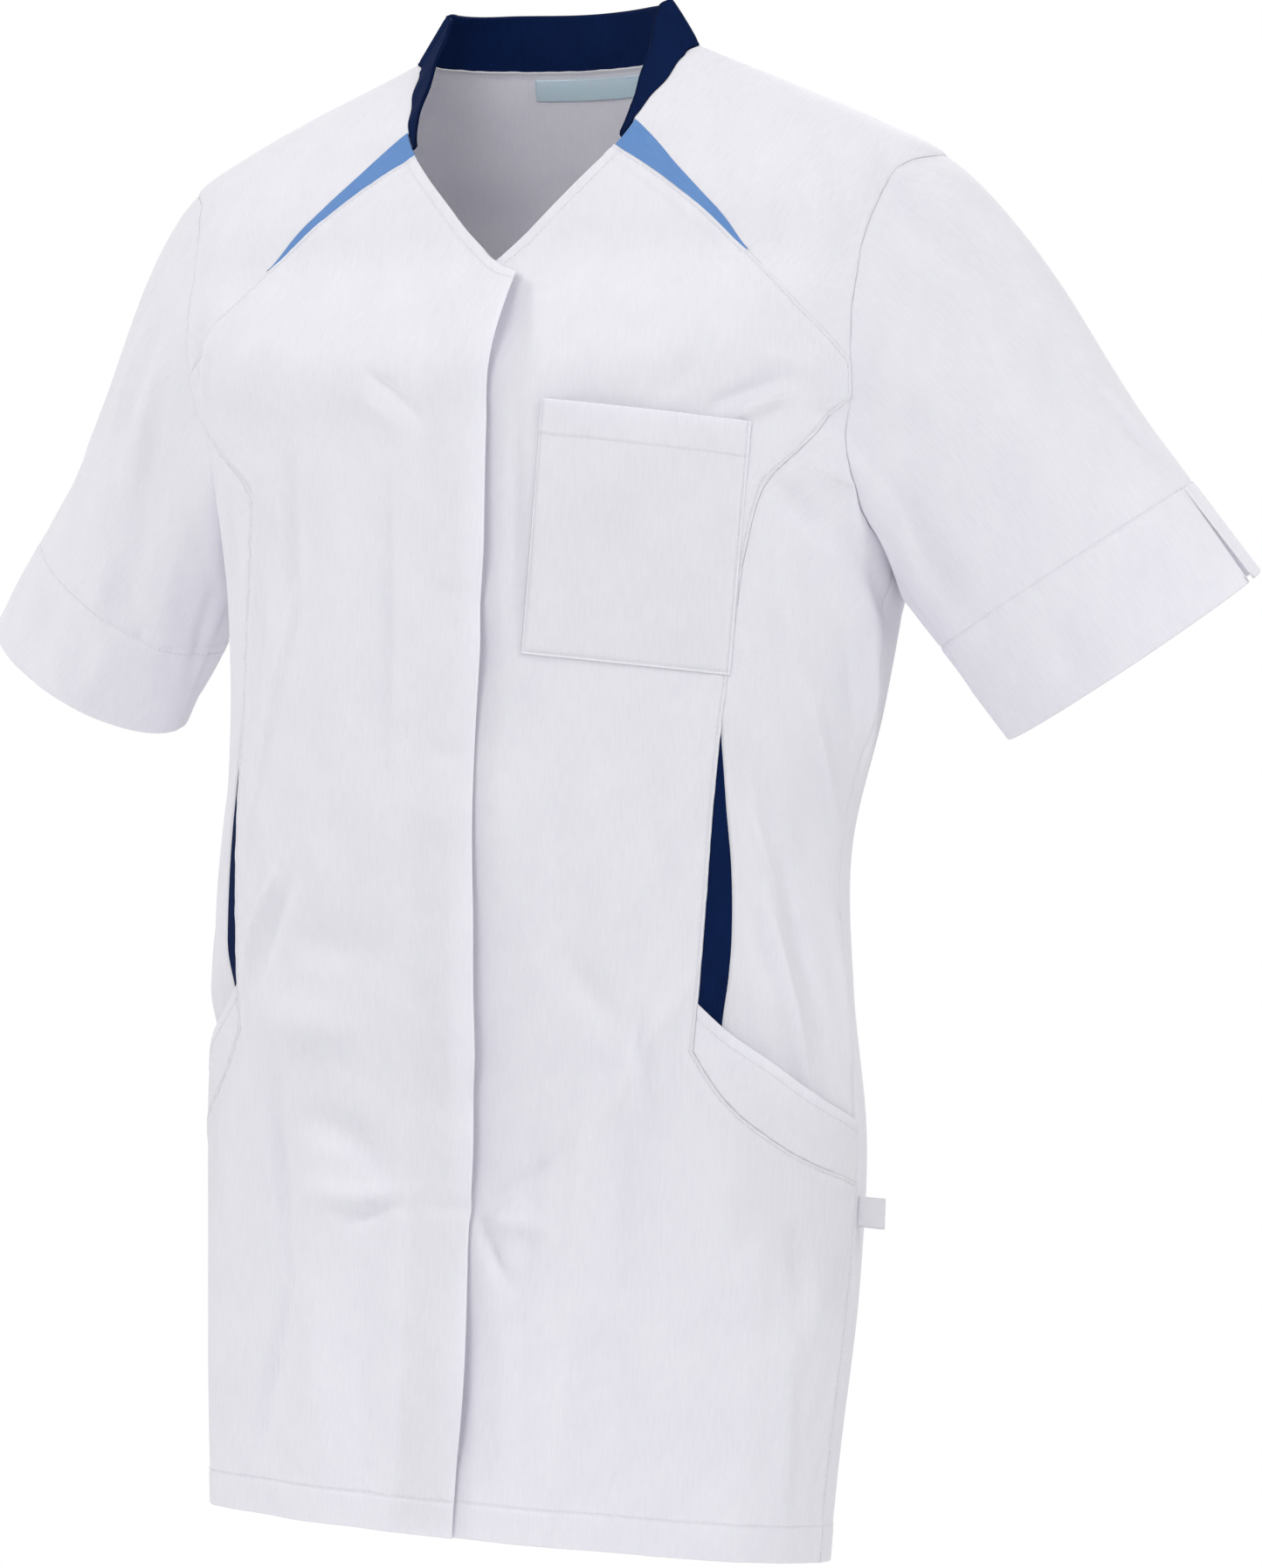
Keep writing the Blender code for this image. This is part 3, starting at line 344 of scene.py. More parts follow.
PRINCESS = [(73.1, -0.1983), (65.9, -0.2278), (61.2, -0.2469), (58.6, -0.2850), (57.8, -0.3270), (57.1, -0.3754)]
INSET_INNER = [(57.0, -0.3754), (56.9, -0.4121), (56.8, -0.4592), (56.0, -0.5297)]
INSET_OUTER = [(57.3, -0.3754), (59.9, -0.4212), (61.9, -0.4586), (62.4, -0.4963), (61.2, -0.5437)]
MOUTH = [(56.0, -0.5297), (61.2, -0.5437), (68.8, -0.5592), (77.6, -0.5770), (90.0, -0.5930)]
WELT_LOW = [(55.6, -0.5556), (61.5, -0.5818), (72.4, -0.6077), (90.0, -0.6270)]
CHEST_POCKET = [(20.6, -0.2055), (57.8, -0.2164), (18.0, -0.3442), (57.6, -0.3528)]
LABEL_COLUMNS = (3, 7)    # the neck label's first and last column on the back neck
LABEL_SPAN = (0.08, 0.56)  # its top and foot, as shares of the back's first row
TAG_PLACE = (91.0, -0.6340)
SIDE_TURN = 90.0

# The hem lies in one plane that rises towards the front.
HEM_HEIGHT = -0.8366
HEM_RISE = 0.1206

# The wearer's right half hangs a little turned: its seams sit this many degrees further round.
SWING_COLUMNS = ("height", "degrees")
RIGHT_SWING = np.array([
    (-0.180, 0.0), (-0.215, -4.0), (-0.245, -7.0), (-0.285, -3.0),
    (-0.330, 0.5), (-0.380, 2.6), (-0.550, 2.8), (-0.880, 2.6),
])

# Sizes that the stiff walls were made with
OVERLAP = 0.018           # how far each front passes the centre line
CORNER_SLOPE = 0.72       # fall of the neck edge past the centre line
NECK_BLEND = 0.06         # share of the front's length over which its rows settle to the same heights
WALL = 0.0015             # thickness of the stiff walls
SEAM_GAP = 0.0003         # between two walls at a seam
PATCH_GAP = 0.0006        # between a panel and what is sewn on it
LABEL_GAP = 0.0010        # between the back and the neck label
POCKET_SINK = 0.0062      # the side front passes this far behind the hip pocket
POCKET_DEPTH = 0.115      # how far the side front goes on inside the hip pocket
POCKET_FULLNESS = 0.0035  # how far the chest pocket stands off at its middle
STAND = 0.034             # height of the collar at the back and the sides
STAND_TIP = 0.003         # height of the collar at its front ends
STAND_RUN = 0.075         # how far along the neck it takes to reach its full height
STAND_LEAN = (33.0, 12.0)  # degrees that the collar leans in, at its sides and at the back
COLLAR_CLOTH = 0.0020     # the stand collar is two layers
CUFF_BAND = 0.064         # depth of the turned-up cuff facing, and the length of its vent
VENT_OPEN = 0.0045        # width of the vent at the cuff's edge
TAG = (0.016, 0.017)      # how far the side tag stands out, and its height
TAG_CLOTH = 0.0010
CAP_OUT = np.array([0.80, 0.20, -0.56])   # which way the cap leaves the shoulder point
# The sleeve, as rings across its own axis: top is the outer edge, bottom the underarm side, and front is
# the way from the ring's middle to its front. Both sleeves are written for the left side.
LEFT_SLEEVE = dict(
    arm=((0.346, 0.044, -0.2080), (0.215, 0.006, -0.3030), (0.004, -0.050, -0.008)),
    cuff=((0.4035, 0.0500, -0.2830), (0.267, 0.040, -0.3760), (0.004, -0.042, -0.013)))
RIGHT_SLEEVE = dict(
    arm=((0.341, 0.044, -0.2140), (0.213, 0.006, -0.3000), (0.004, -0.050, -0.010)),
    cuff=((0.4000, 0.0500, -0.3035), (0.265, 0.040, -0.3760), (0.004, -0.042, -0.018)))
print("sections:", len(SECTIONS), "folds:", len(FOLDS))

# %% Reading the form


def over_rows(table, x, column):
    """A smooth curve through one column of a table whose first column is the height, read at heights x."""
    heights, values = -table[:, 0], table[:, column]
    slopes = np.gradient(values, heights)
    at = np.clip(-x, heights[0], heights[-1])
    i = np.clip(np.searchsorted(heights, at) - 1, 0, len(heights) - 2)
    step = heights[i + 1] - heights[i]
    u = (at - heights[i]) / step
    start = (2 * u**3 - 3 * u**2 + 1) * values[i] + (u**3 - 2 * u**2 + u) * step * slopes[i]
    end = (3 * u**2 - 2 * u**3) * values[i + 1] + (u**3 - u**2) * step * slopes[i + 1]
    return start + end


def smooth(x, low, high):
    """0 below low, 1 above high, and an S curve between."""
    u = np.clip((x - low) / (high - low), 0, 1)
    return u * u * (3 - 2 * u)


def large_folds(turn, height):
    """The sum of the largest rounded ridges and troughs, each a bell in turn and in height."""
    total = np.zeros(np.broadcast(turn, height).shape)
    for fold_turn, fold_height, half_turn, half_height, depth in FOLDS:
        across = (np.mod(turn - fold_turn + 180, 360) - 180) / half_turn
        along = (height - fold_height) / half_height
        total = total + depth * np.exp(-across**2 - along**2)
    return total


def surface(turn, height):
    """The body: at each height a rounded oval whose left, right, front and back have their own reach."""
    left, right, front, back, axis_y, square, back_square = (over_rows(SECTIONS, height, c)
                                                             for c in range(1, 8))
    sine, cosine = np.sin(np.radians(turn)), np.cos(np.radians(turn))
    half_width = np.where(sine > 0, left, right)
    depth = np.where(cosine > 0, front, back)
    power = np.where(cosine > 0, square, back_square)
    radius = ((np.abs(sine) / half_width)**power + (np.abs(cosine) / depth)**power)**(-1 / power)
    radius = radius + large_folds(turn, height)
    return np.stack([radius * sine, axis_y - radius * cosine, height + 0 * radius], -1)


def outward(turn, height):
    """The surface's unit normal: a short step down crossed with a short step round."""
    around = surface(turn + 0.5, height) - surface(turn - 0.5, height)
    down = surface(turn, height - 0.0005) - surface(turn, height + 0.0005)
    normal = np.cross(down, around)
    return normal / np.linalg.norm(normal, axis=-1, keepdims=True)


def swing(side, turn, height):
    """The signed turn on that half of the body, with the right half's swing."""
    if side > 0:
        return turn
    share = np.clip(np.minimum((turn - 15) / 40, (90 - turn) / 35), 0, 1)
    return -(turn + share * over_rows(RIGHT_SWING, height, 1))


print("chest depth", round(float(surface(0.0, -0.2)[1] * -1 + surface(180.0, -0.2)[1]), 3), "m")

# %% [markdown]
# ## Folds placed one by one
# Cloth could be simulated, but this dress keeps a known shape, so each soft crease is placed where it shows, and the
# hidden sides get similar ones. A crease is a line between two places on the cloth. Across it the cloth rises or sinks
# like a bell curve, and towards its ends it fades.

# %% Creases of the body
DEGREE = 0.0033           # metres round the body for one degree of turn
RELIEF = 1.7              # all depths in the table are times this, so that the folds show in soft light
# First place, second place, half width in mm, height in mm (a trough is negative), sideways bend in mm
CREASES = np.array([
    # right front, from the princess seam to the placket
    (-42, -0.222, -42, -0.343, 9, -2.4, 0), (-30, -0.250, -28, -0.420, 15, 2.2, 0),
    (-42, -0.308, -56, -0.464, 5, 2.0, 3), (-50, -0.280, -54, -0.420, 9, -1.6, 3),
    (-17, -0.230, -15, -0.415, 9, -2.0, 0), (-24, -0.188, -9, -0.214, 4, -2.0, -2),
    (-26, -0.200, -13, -0.222, 5, 1.1, 0), (-46, -0.468, -56, -0.530, 4.5, 2.8, 4),
    (-40, -0.466, -51, -0.528, 6, -2.0, 4), (-51, -0.545, -25, -0.550, 13, 2.4, 3),
    (-42, -0.500, -16, -0.514, 12, -2.0, 0), (-40, -0.602, -16, -0.626, 10, -2.8, -4),
    (-39, -0.641, -13, -0.640, 7, 2.0, 3), (-27, -0.658, -13, -0.645, 4, -1.3, 0),
    (-48, -0.588, -43, -0.692, 8, -3.0, 3), (-43, -0.690, -50, -0.792, 7, -2.6, 3),
    (-37, -0.690, -29, -0.790, 12, 2.0, 0), (-20, -0.700, -17, -0.800, 9, -1.4, 0),
    (-12, -0.680, -9, -0.800, 9, 1.0, 0), (-34, -0.440, -30, -0.490, 10, 1.2, 0),
    # left front, between the placket and the insets
    (34, -0.388, 40, -0.516, 11, 1.8, 0), (44, -0.392, 50, -0.490, 9, -1.5, 0),
    (27, -0.386, 29, -0.510, 12, -1.5, 0), (54, -0.518, 43, -0.590, 6.5, 3.0, 3),
    (38, -0.580, 36, -0.702, 11, 3.0, 2), (36, -0.692, 31, -0.818, 11, 2.6, 0),
    (25, -0.612, 24, -0.790, 11, -2.8, 2), (51, -0.542, 50, -0.594, 5.5, 2.2, 0),
    (46, -0.540, 47, -0.580, 6, -3.0, 0), (44, -0.596, 43, -0.690, 9, -2.0, 0),
    (9, -0.646, 32, -0.611, 5.5, -2.6, 3), (12, -0.652, 20, -0.686, 5, -2.4, 0),
    (13, -0.649, 28, -0.653, 6, 1.8, 0), (30, -0.508, 42, -0.545, 10, -2.0, 0),
    (53, -0.620, 54, -0.790, 13, 1.6, 0), (60, -0.690, 62, -0.800, 12, -2.2, 0),
    (74, -0.710, 76, -0.812, 8, 2.0, 0), (67, -0.655, 68, -0.700, 4.5, 2.0, 0),
    (74, -0.652, 78, -0.700, 5.5, -2.6, 0), (46, -0.715, 45, -0.805, 9, -1.4, 0),
    (14, -0.300, 16, -0.470, 12, 1.0, 0), (12, -0.700, 13, -0.800, 9, 1.1, 0),
    # above and beside the chest pocket
    (49, -0.183, 43, -0.204, 5.5, -1.3, 0), (52, -0.209, 62, -0.191, 4.5, -3.2, 0),
    (56, -0.213, 63, -0.199, 3.8, 3.2, 0), (67, -0.200, 74, -0.222, 6.5, -2.2, 0),
    (58, -0.178, 69, -0.186, 6, 1.5, 0), (15, -0.208, 16, -0.340, 6, -1.1, 0),
    # left side front: drags from the arm and along the side
    (63, -0.250, 71, -0.274, 8, -3.6, 0), (67, -0.238, 76, -0.248, 4.5, 1.8, 0),
    (73, -0.268, 93, -0.316, 10, -3.2, 0), (62, -0.278, 69, -0.352, 8, 2.2, 0),
    (60, -0.388, 76, -0.466, 9, -3.2, 3), (72, -0.362, 88, -0.438, 5.5, 2.6, 2),
    (68, -0.468, 78, -0.574, 5.5, 3.0, 2), (73, -0.456, 82, -0.548, 7, -2.8, 2),
    (63, -0.408, 69, -0.460, 5, 1.8, 0), (86, -0.474, 90, -0.562, 6, 2.0, 0),
    (86, -0.330, 93, -0.400, 6, 2.2, 0), (78, -0.330, 86, -0.384, 6, -2.2, 0),
    (66, -0.480, 70, -0.524, 4, -1.8, 0),
    # right side front, seen at a slant
    (-62, -0.250, -66, -0.330, 7, -2.0, 0), (-66, -0.420, -70, -0.520, 6, 1.8, 0),
    (-74, -0.300, -80, -0.420, 8, -2.2, 0), (-78, -0.440, -76, -0.560, 6, 2.0, 0),
    # yokes
    (72, -0.064, 69, -0.134, 5.5, 2.4, 0), (66, -0.096, 65, -0.140, 5, -1.5, 0),
    (80, -0.060, 77, -0.100, 4, -1.9, 0), (-72, -0.070, -69, -0.140, 5.5, 2.0, 0),
    (-78, -0.066, -76, -0.120, 5, -1.7, 0), (-66, -0.110, -62, -0.150, 7, -1.4, 0),
    (-67, -0.150, -68, -0.190, 6, -2.8, 0), (-63, -0.152, -64, -0.196, 4, 1.8, 0),
    # upper fronts
    (-40, -0.140, -55, -0.186, 14, 1.3, 0), (30, -0.135, 52, -0.165, 14, 1.3, 0),
    (-11, -0.150, -8, -0.185, 5, -1.1, 0),
    # back: drags from the arms, a soft sway at the waist and long skirt folds
    (112, -0.160, 128, -0.290, 10, -3.0, 4), (118, -0.140, 140, -0.270, 9, 2.4, 5),
    (-112, -0.165, -129, -0.300, 10, -3.0, -4), (-119, -0.140, -138, -0.280, 9, 2.4, -5),
    (106, -0.270, 122, -0.390, 8, 2.6, 3), (-106, -0.280, -123, -0.400, 8, 2.6, -3),
    (130, -0.400, 158, -0.446, 9, -3.0, 4), (-132, -0.408, -157, -0.450, 9, -2.8, -4),
    (140, -0.470, 172, -0.478, 10, 2.6, 3), (-141, -0.476, -171, -0.486, 10, 2.4, -3),
    (128, -0.520, 131, -0.700, 12, -3.0, 3), (-127, -0.510, -131, -0.690, 12, -3.0, -3),
    (141, -0.560, 146, -0.790, 12, 2.8, 2), (-142, -0.570, -147, -0.790, 12, 2.8, -2),
    (161, -0.600, 164, -0.800, 13, -2.6, 0), (-160, -0.610, -165, -0.800, 13, -2.8, 0),
    (178, -0.560, 176, -0.790, 15, 2.2, 0), (116, -0.620, 114, -0.790, 9, 2.4, 0),
    (-116, -0.620, -113, -0.780, 9, 2.4, 0), (103, -0.560, 106, -0.680, 7, -2.4, 0),
    (-104, -0.560, -106, -0.690, 7, -2.4, 0), (150, -0.120, 154, -0.250, 18, -2.0, 0),
    (-150, -0.120, -155, -0.260, 18, -2.0, 0), (172, -0.090, 178, -0.130, 9, 1.3, 0),
])


def creases(table, first, second, first_metres, second_metres):
    """Each crease is a line from a to b. Across it the height is depth * exp(-(distance / half width)^2),
    and along it that fades from the middle to the two ends. A bend shifts the middle sideways as a parabola."""
    total = np.zeros(np.broadcast(first, second).shape)
    for a_first, a_second, b_first, b_second, half_width, depth, bend in table:
        x = (np.mod(first - a_first + 180, 360) - 180) * first_metres
        y = (second - a_second) * second_metres
        end = np.array([(b_first - a_first) * first_metres, (b_second - a_second) * second_metres])
        length = np.hypot(*end)
        along = (x * end[0] + y * end[1]) / length**2
        aside = (x * end[1] - y * end[0]) / length - bend / 1000 * 4 * along * (1 - along)
        past = (along - np.clip(along, 0, 1)) * length
        fade = 0.3 + 0.7 * np.sin(np.pi * np.clip(along, 0, 1))
        distance = (aside**2 + past**2) / (half_width / 1000)**2
        total += RELIEF * depth / 1000 * fade * np.exp(-np.minimum(distance, 40))
    return total


print("creases on the body:", len(CREASES))

# %% [markdown]
# ## Patches between seams
# A cut piece is a patch with four edges. Its edges are the seams, read from smooth curves, and its inside is
# worked out from them in two steps: a coarse patch is evened out on the body as cloth would lie, then a fine
# grid is read from it and set exactly on the seams, so that two neighbours meet all the way.

# %% Seams as lines that can be read anywhere


def seam_places(places, share):
    """A smooth curve through the places, read at shares of its length as the cloth measures it."""
    places = np.array(places, float)
    scaled = places * (DEGREE, 1.0)
    knots = np.concatenate([[0], np.cumsum(np.linalg.norm(np.diff(scaled, axis=0), axis=1))])
    at = np.asarray(share) * knots[-1]
    slopes = np.gradient(places, knots, axis=0) if len(places) > 2 else np.tile(
        (places[1] - places[0]) / knots[1], (2, 1))
    i = np.clip(np.searchsorted(knots, at) - 1, 0, len(knots) - 2)
    step = (knots[i + 1] - knots[i])[:, None]
    u = (at - knots[i])[:, None] / step
    start = (2 * u**3 - 3 * u**2 + 1) * places[i] + (u**3 - 2 * u**2 + u) * step * slopes[i]
    end = (3 * u**2 - 2 * u**3) * places[i + 1] + (u**3 - u**2) * step * slopes[i + 1]
    return start + end


def read_line(line, t):
    """Places on a line of seams that follow each other. Each has a number of steps, and t counts them."""
    out, start = np.zeros((len(t), 2)), 0
    for places, steps in line:
        here = (t >= start - 1e-9) & (t <= start + steps + 1e-9)
        out[here] = seam_places(places, np.clip((t[here] - start) / steps, 0, 1))
        start += steps
    return out


def steps_of(line):
    return sum(steps for _, steps in line)


def backwards(line):
    return [(places[::-1], steps) for places, steps in line[::-1]]


def other_half(line):
    """The same line on the other side of the back's middle."""
    return [([(360 - turn, height) for turn, height in places], steps) for places, steps in line]


S = dict(wedge=4, yoke=3, arm_yoke_front=7, arm_yoke_back=2, arm_front=1, arm_side=5, arm_back=9,
         princess=7, inset=6, side=13, in_pocket=4, welt=7, side_low=7, neck_back=10, welt_rows=2)
FRONT_PRINCESS = PRINCESS[:-1] + [INSET_INNER[0]]
SIDE_PRINCESS = PRINCESS[:-1] + [INSET_OUTER[0]]


def hem_line(turns, side=1):
    """Places on the hem's plane at these turns, found by settling the height a few times."""
    heights = np.full(len(turns), HEM_HEIGHT)
    for _ in range(4):
        signed = swing(side, turns, heights)
        heights = HEM_HEIGHT - HEM_RISE * surface(signed, heights)[:, 1]
    return np.stack([turns, heights], -1)


HEM_SIDE = tuple(hem_line(np.array([SIDE_TURN]))[0])
SIDE_LINE = [([(SIDE_TURN, ARMHOLE_SIDE[-1][1]), MOUTH[-1]], S["side"])]
SIDE_WELT = [([MOUTH[-1], WELT_LOW[-1]], S["welt_rows"])]
SIDE_LOW = [([WELT_LOW[-1], HEM_SIDE], S["side_low"])]
WELT_END = [([MOUTH[0], WELT_LOW[0]], S["welt_rows"])]
print("side seam ends at the hem at", np.round(HEM_SIDE, 4).tolist())

# %% A fine patch from four lines
EVEN_PASSES = 60
EVEN_SHARE = 0.7
GRID = 0.0034             # metres between grid lines inside a piece
SEWN_LINES = np.array([0, 0.9, 1.6, 2.2, 2.9, 3.8, 5.4, 7.4, 9.4]) / 1000   # closer ones beside a sewn edge
HEM_LINES = np.array([0, 1, 3, 6, 10, 14, 17, 18.4, 19.3, 20, 20.7, 21.6, 23, 26]) / 1000   # and along a hem


def coons(top, bottom, left, right, u, v):
    """A four-sided patch: across plus down, less what the corners give twice."""
    u, v = u[None, :, None], v[:, None, None]
    corners = ((1 - u) * (1 - v) * top[0] + u * (1 - v) * top[-1]
               + (1 - u) * v * bottom[0] + u * v * bottom[-1])
    return (1 - u) * left[:, None] + u * right[:, None] + (1 - v) * top[None] + v * bottom[None] - corners


def even_out(places):
    """Moves each inner point along the surface towards the middle of its four neighbours, over and over."""
    for _ in range(EVEN_PASSES):
        points = surface(places[..., 0], places[..., 1])
        turn, height = places[1:-1, 1:-1, 0], places[1:-1, 1:-1, 1]
        middle = (points[:-2, 1:-1] + points[2:, 1:-1] + points[1:-1, :-2] + points[1:-1, 2:]) / 4
        wanted = middle - points[1:-1, 1:-1]
        around = surface(turn + 0.5, height) - surface(turn - 0.5, height)
        up = (surface(turn, height + 0.0005) - surface(turn, height - 0.0005)) / 0.001
        aa, uu, au = (around * around).sum(-1), (up * up).sum(-1), (around * up).sum(-1)
        wa, wu = (wanted * around).sum(-1), (wanted * up).sum(-1)
        spread = aa * uu - au * au
        turn += EVEN_SHARE * (wa * uu - wu * au) / spread
        height += EVEN_SHARE * (wu * aa - wa * au) / spread
    return places


def reading(count, t):
    """The weights that read a smooth cubic curve through count points at each t."""
    eye = np.eye(count)
    slopes = np.gradient(eye, axis=0)
    i = np.clip(t.astype(int), 0, count - 2)
    u = (t - i)[:, None]
    return ((2 * u**3 - 3 * u**2 + 1) * eye[i] + (u**3 - 2 * u**2 + u) * slopes[i]
            + (3 * u**2 - 2 * u**3) * eye[i + 1] + (u**3 - u**2) * slopes[i + 1])


def grid_steps(steps, length, start_lines, end_lines, keep=()):
    """Where the fine grid reads a line: evenly by GRID, at the close lines beside its two ends, and at each
    kept step."""
    rate = steps / length
    inner = np.linspace(0, steps, max(int(length / GRID), 2) + 1)
    start = start_lines[start_lines < length / 2.2] * rate
    end = steps - end_lines[end_lines < length / 2.2] * rate
    low = start[-1] + 0.4 * GRID * rate if len(start) > 1 else 0
    high = end[-1] - 0.4 * GRID * rate if len(end) > 1 else steps
    inner = inner[(inner > low) & (inner < high)]
    every = np.unique(np.round(np.concatenate([start, inner, end, [0, steps], np.array(keep, float)]), 6))
    apart = np.concatenate([[True], np.diff(every) > 0.2e-3 * rate])
    apart[-1] = True
    return every[apart | np.isin(every, keep)]


def length_of(line):
    places = read_line(line, np.linspace(0, steps_of(line), 60))
    return np.linalg.norm(np.diff(surface(places[:, 0], places[:, 1]), axis=0), axis=1).sum()


def coarse_patch(top, bottom, left, right):
    """The patch as the stiff wall has it, evened out."""
    u, v = np.linspace(0, 1, steps_of(top) + 1), np.linspace(0, 1, steps_of(left) + 1)
    ends = [read_line(line, np.arange(steps_of(line) + 1.0)) for line in (top, bottom, left, right)]
    return even_out(coons(*ends, u, v))


def patch(top, bottom, left, right, near=None, keep_rows=(), keep_columns=()):
    """Places on a fine grid between four lines: a coarse evened patch, read finely, then moved by the patch
    of what its edges miss, so that they lie on the lines themselves. near names the close lines of each edge:
    t, b, l and r. The steps at which the grid reads the rows come back too."""
    lines = {edge: (near or {}).get(edge, SEWN_LINES) for edge in "tblr"}
    row_steps, column_steps = steps_of(left), steps_of(top)
    coarse = coarse_patch(top, bottom, left, right)
    width, height = max(length_of(top), length_of(bottom)), max(length_of(left), length_of(right))
    across = grid_steps(column_steps, width, lines["l"], lines["r"], keep_columns)
    down = grid_steps(row_steps, height, lines["t"], lines["b"], keep_rows)
    fine = np.einsum("ri,ijk,cj->rck", reading(row_steps + 1, down), coarse, reading(column_steps + 1, across))
    exact = [read_line(line, t) for line, t in ((top, across), (bottom, across), (left, down), (right, down))]
    missed = [exact[0] - fine[0], exact[1] - fine[-1], exact[2] - fine[:, 0], exact[3] - fine[:, -1]]
    return fine + coons(*missed, across / column_steps, down / row_steps), down


print("grid of", GRID * 1000, "mm, evened", EVEN_PASSES, "times")

# %% [markdown]
# ## Thin cloth from a grid
# Solidify could thicken a sheet, but its edges stay square. Here the shell is made whole: an outer face, an
# inner face a millimetre behind it, and a round edge between them, as on a folded and pressed edge.

# %% Shells with rounded edges
CLOTH = 0.0010            # two thin layers pressed together, as at every edge that shows


def new_piece(name, points, faces, look, uv, round_length=0):
    """Puts whole arrays into a mesh, all faces having the same number of corners, and lets it ride. On a tube
    the cloth measure starts again after round_length, and the faces that close the tube take it on."""
    mesh = bpy.data.meshes.new(name)
    corners = faces.shape[1]
    mesh.vertices.add(len(points))
    mesh.vertices.foreach_set("co", points.astype(np.float32).ravel())
    mesh.loops.add(faces.size)
    mesh.loops.foreach_set("vertex_index", faces.astype(np.int32).ravel())
    mesh.polygons.add(len(faces))
    mesh.polygons.foreach_set("loop_start", np.arange(len(faces), dtype=np.int32) * corners)
    mesh.update(calc_edges=True)
    measure = uv[faces].astype(np.float32)
    behind = measure[..., 0] < measure[..., 0].max(1, keepdims=True) - round_length / 2
    measure[..., 0] += round_length * behind
    mesh.uv_layers.new(name="cloth").data.foreach_set("uv", measure.ravel())
    mesh.shade_smooth()
    mesh.materials.append(look)
    piece = bpy.data.objects.new(name, mesh)
    bpy.context.scene.collection.objects.link(piece)
    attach(piece, "root")
    return piece


def grid_quads(rows, columns):
    """The quads of a grid of points, as indices into it."""
    corner = (np.arange(rows - 1)[:, None] * columns + np.arange(columns - 1)[None, :]).ravel()
    return np.stack([corner, corner + columns, corner + columns + 1, corner + 1], 1)


def unit(vectors):
    return vectors / np.maximum(np.linalg.norm(vectors, axis=-1, keepdims=True), 1e-12)


def point_normals(points, quads):
    """A quad's normal is its two diagonals crossed, and a point takes the sum of its quads' normals."""
    face = np.cross(points[quads[:, 2]] - points[quads[:, 0]], points[quads[:, 3]] - points[quads[:, 1]])
    total = np.zeros_like(points)
    np.add.at(total, quads.ravel(), np.repeat(face, 4, axis=0))
    return unit(total)


def open_edges(points, quads):
    """The edges that only one quad has, and at each of their points the way out of the cloth."""
    a, b = quads.ravel(), np.roll(quads, -1, axis=1).ravel()
    single = ~np.isin(a * len(points) + b, b * len(points) + a)
    middle = np.repeat(points[quads].mean(1), 4, axis=0)[single]
    a, b = a[single], b[single]
    along = unit(points[b] - points[a])
    away = (points[a] + points[b]) / 2 - middle
    away = unit(away - (away * along).sum(1, keepdims=True) * along)
    total = np.zeros_like(points)
    np.add.at(total, a, away)
    np.add.at(total, b, away)
    return a, b, unit(total)


def shell(name, points, quads, outside, uv, look, thickness=CLOTH, round_length=0):
    """A closed thin piece: outer points, inner points one thickness behind, and a line half way between them
    and half a thickness further out, which rounds the edge. outside points roughly out of the cloth."""
    normal = point_normals(points, quads)
    if (normal * outside).sum() < 0:
        quads, normal = quads[:, ::-1], -normal
    a, b, away = open_edges(points, quads)
    count, edge = len(points), np.unique(a)
    outer, inner = points.copy(), points - thickness * normal
    rim = (outer + inner)[edge] / 2
    outer[edge] -= away[edge] * thickness / 2
    inner[edge] -= away[edge] * thickness / 2
    number = np.zeros(count, int)
    number[edge] = 2 * count + np.arange(len(edge))
    faces = np.concatenate([quads, quads[:, ::-1] + count, np.stack([b, a, number[a], number[b]], 1),
                            np.stack([number[b], number[a], a + count, b + count], 1)])
    return new_piece(name, np.concatenate([outer, inner, rim]), faces, look,
                     np.concatenate([uv, uv, uv[edge]]), round_length)


print("cloth", CLOTH * 1000, "mm thick")

# %% [markdown]
# ## Pressed edges
# What makes cloth look sewn is its edges. A seam's allowances lie under one side and lift it a little, the
# stitches pull a fine groove, and the cloth puckers beside them. Each of these is a height that depends on the
# distance from the edge and on the place along it.

# %% Edge forms
STITCH_IN = 0.0022        # the edge stitch's distance from its seam
HEM_TURN = 0.020          # depth of the hem
FACING = 0.006            # the neck facing's stitch line


def pucker(along, distance, line, depth):
    """Uneven small waves along a stitched line: three sines of odd lengths, fading 5 mm to either side."""
    waves = np.sin(along * 571) + np.sin(along * 359 + 1.3) + np.sin(along * 217 + 4.1)
    return depth / 2 * waves * np.exp(-((distance - line) / 0.005)**2)


def pressed_over(distance, along):
    """Lifted over the seam allowance for 9 mm, with a groove where the edge stitch pulls."""
    lift = 0.0006 * (1 - smooth(distance, 0.0065, 0.0105))
    groove = 0.0004 * np.exp(-((distance - STITCH_IN) / 0.0009)**2)
    return lift - groove + pucker(along, distance, STITCH_IN, 0.00022)


def passed_under(distance, along):
    """The other side of the seam: it dips to the stitches."""
    return -0.0006 * (1 - smooth(distance, 0, 0.004)) + pucker(along, distance, 0, 0.00025)


def hemmed(distance, along):
    """Two more layers up to the hem's stitches, a groove there, and puckers across."""
    lift = 0.0006 * (1 - smooth(distance, HEM_TURN - 0.0005, HEM_TURN + 0.002))
    groove = 0.0005 * np.exp(-((distance - HEM_TURN + 0.0012) / 0.0010)**2)
    return lift - groove + pucker(along, distance, HEM_TURN, 0.0004)


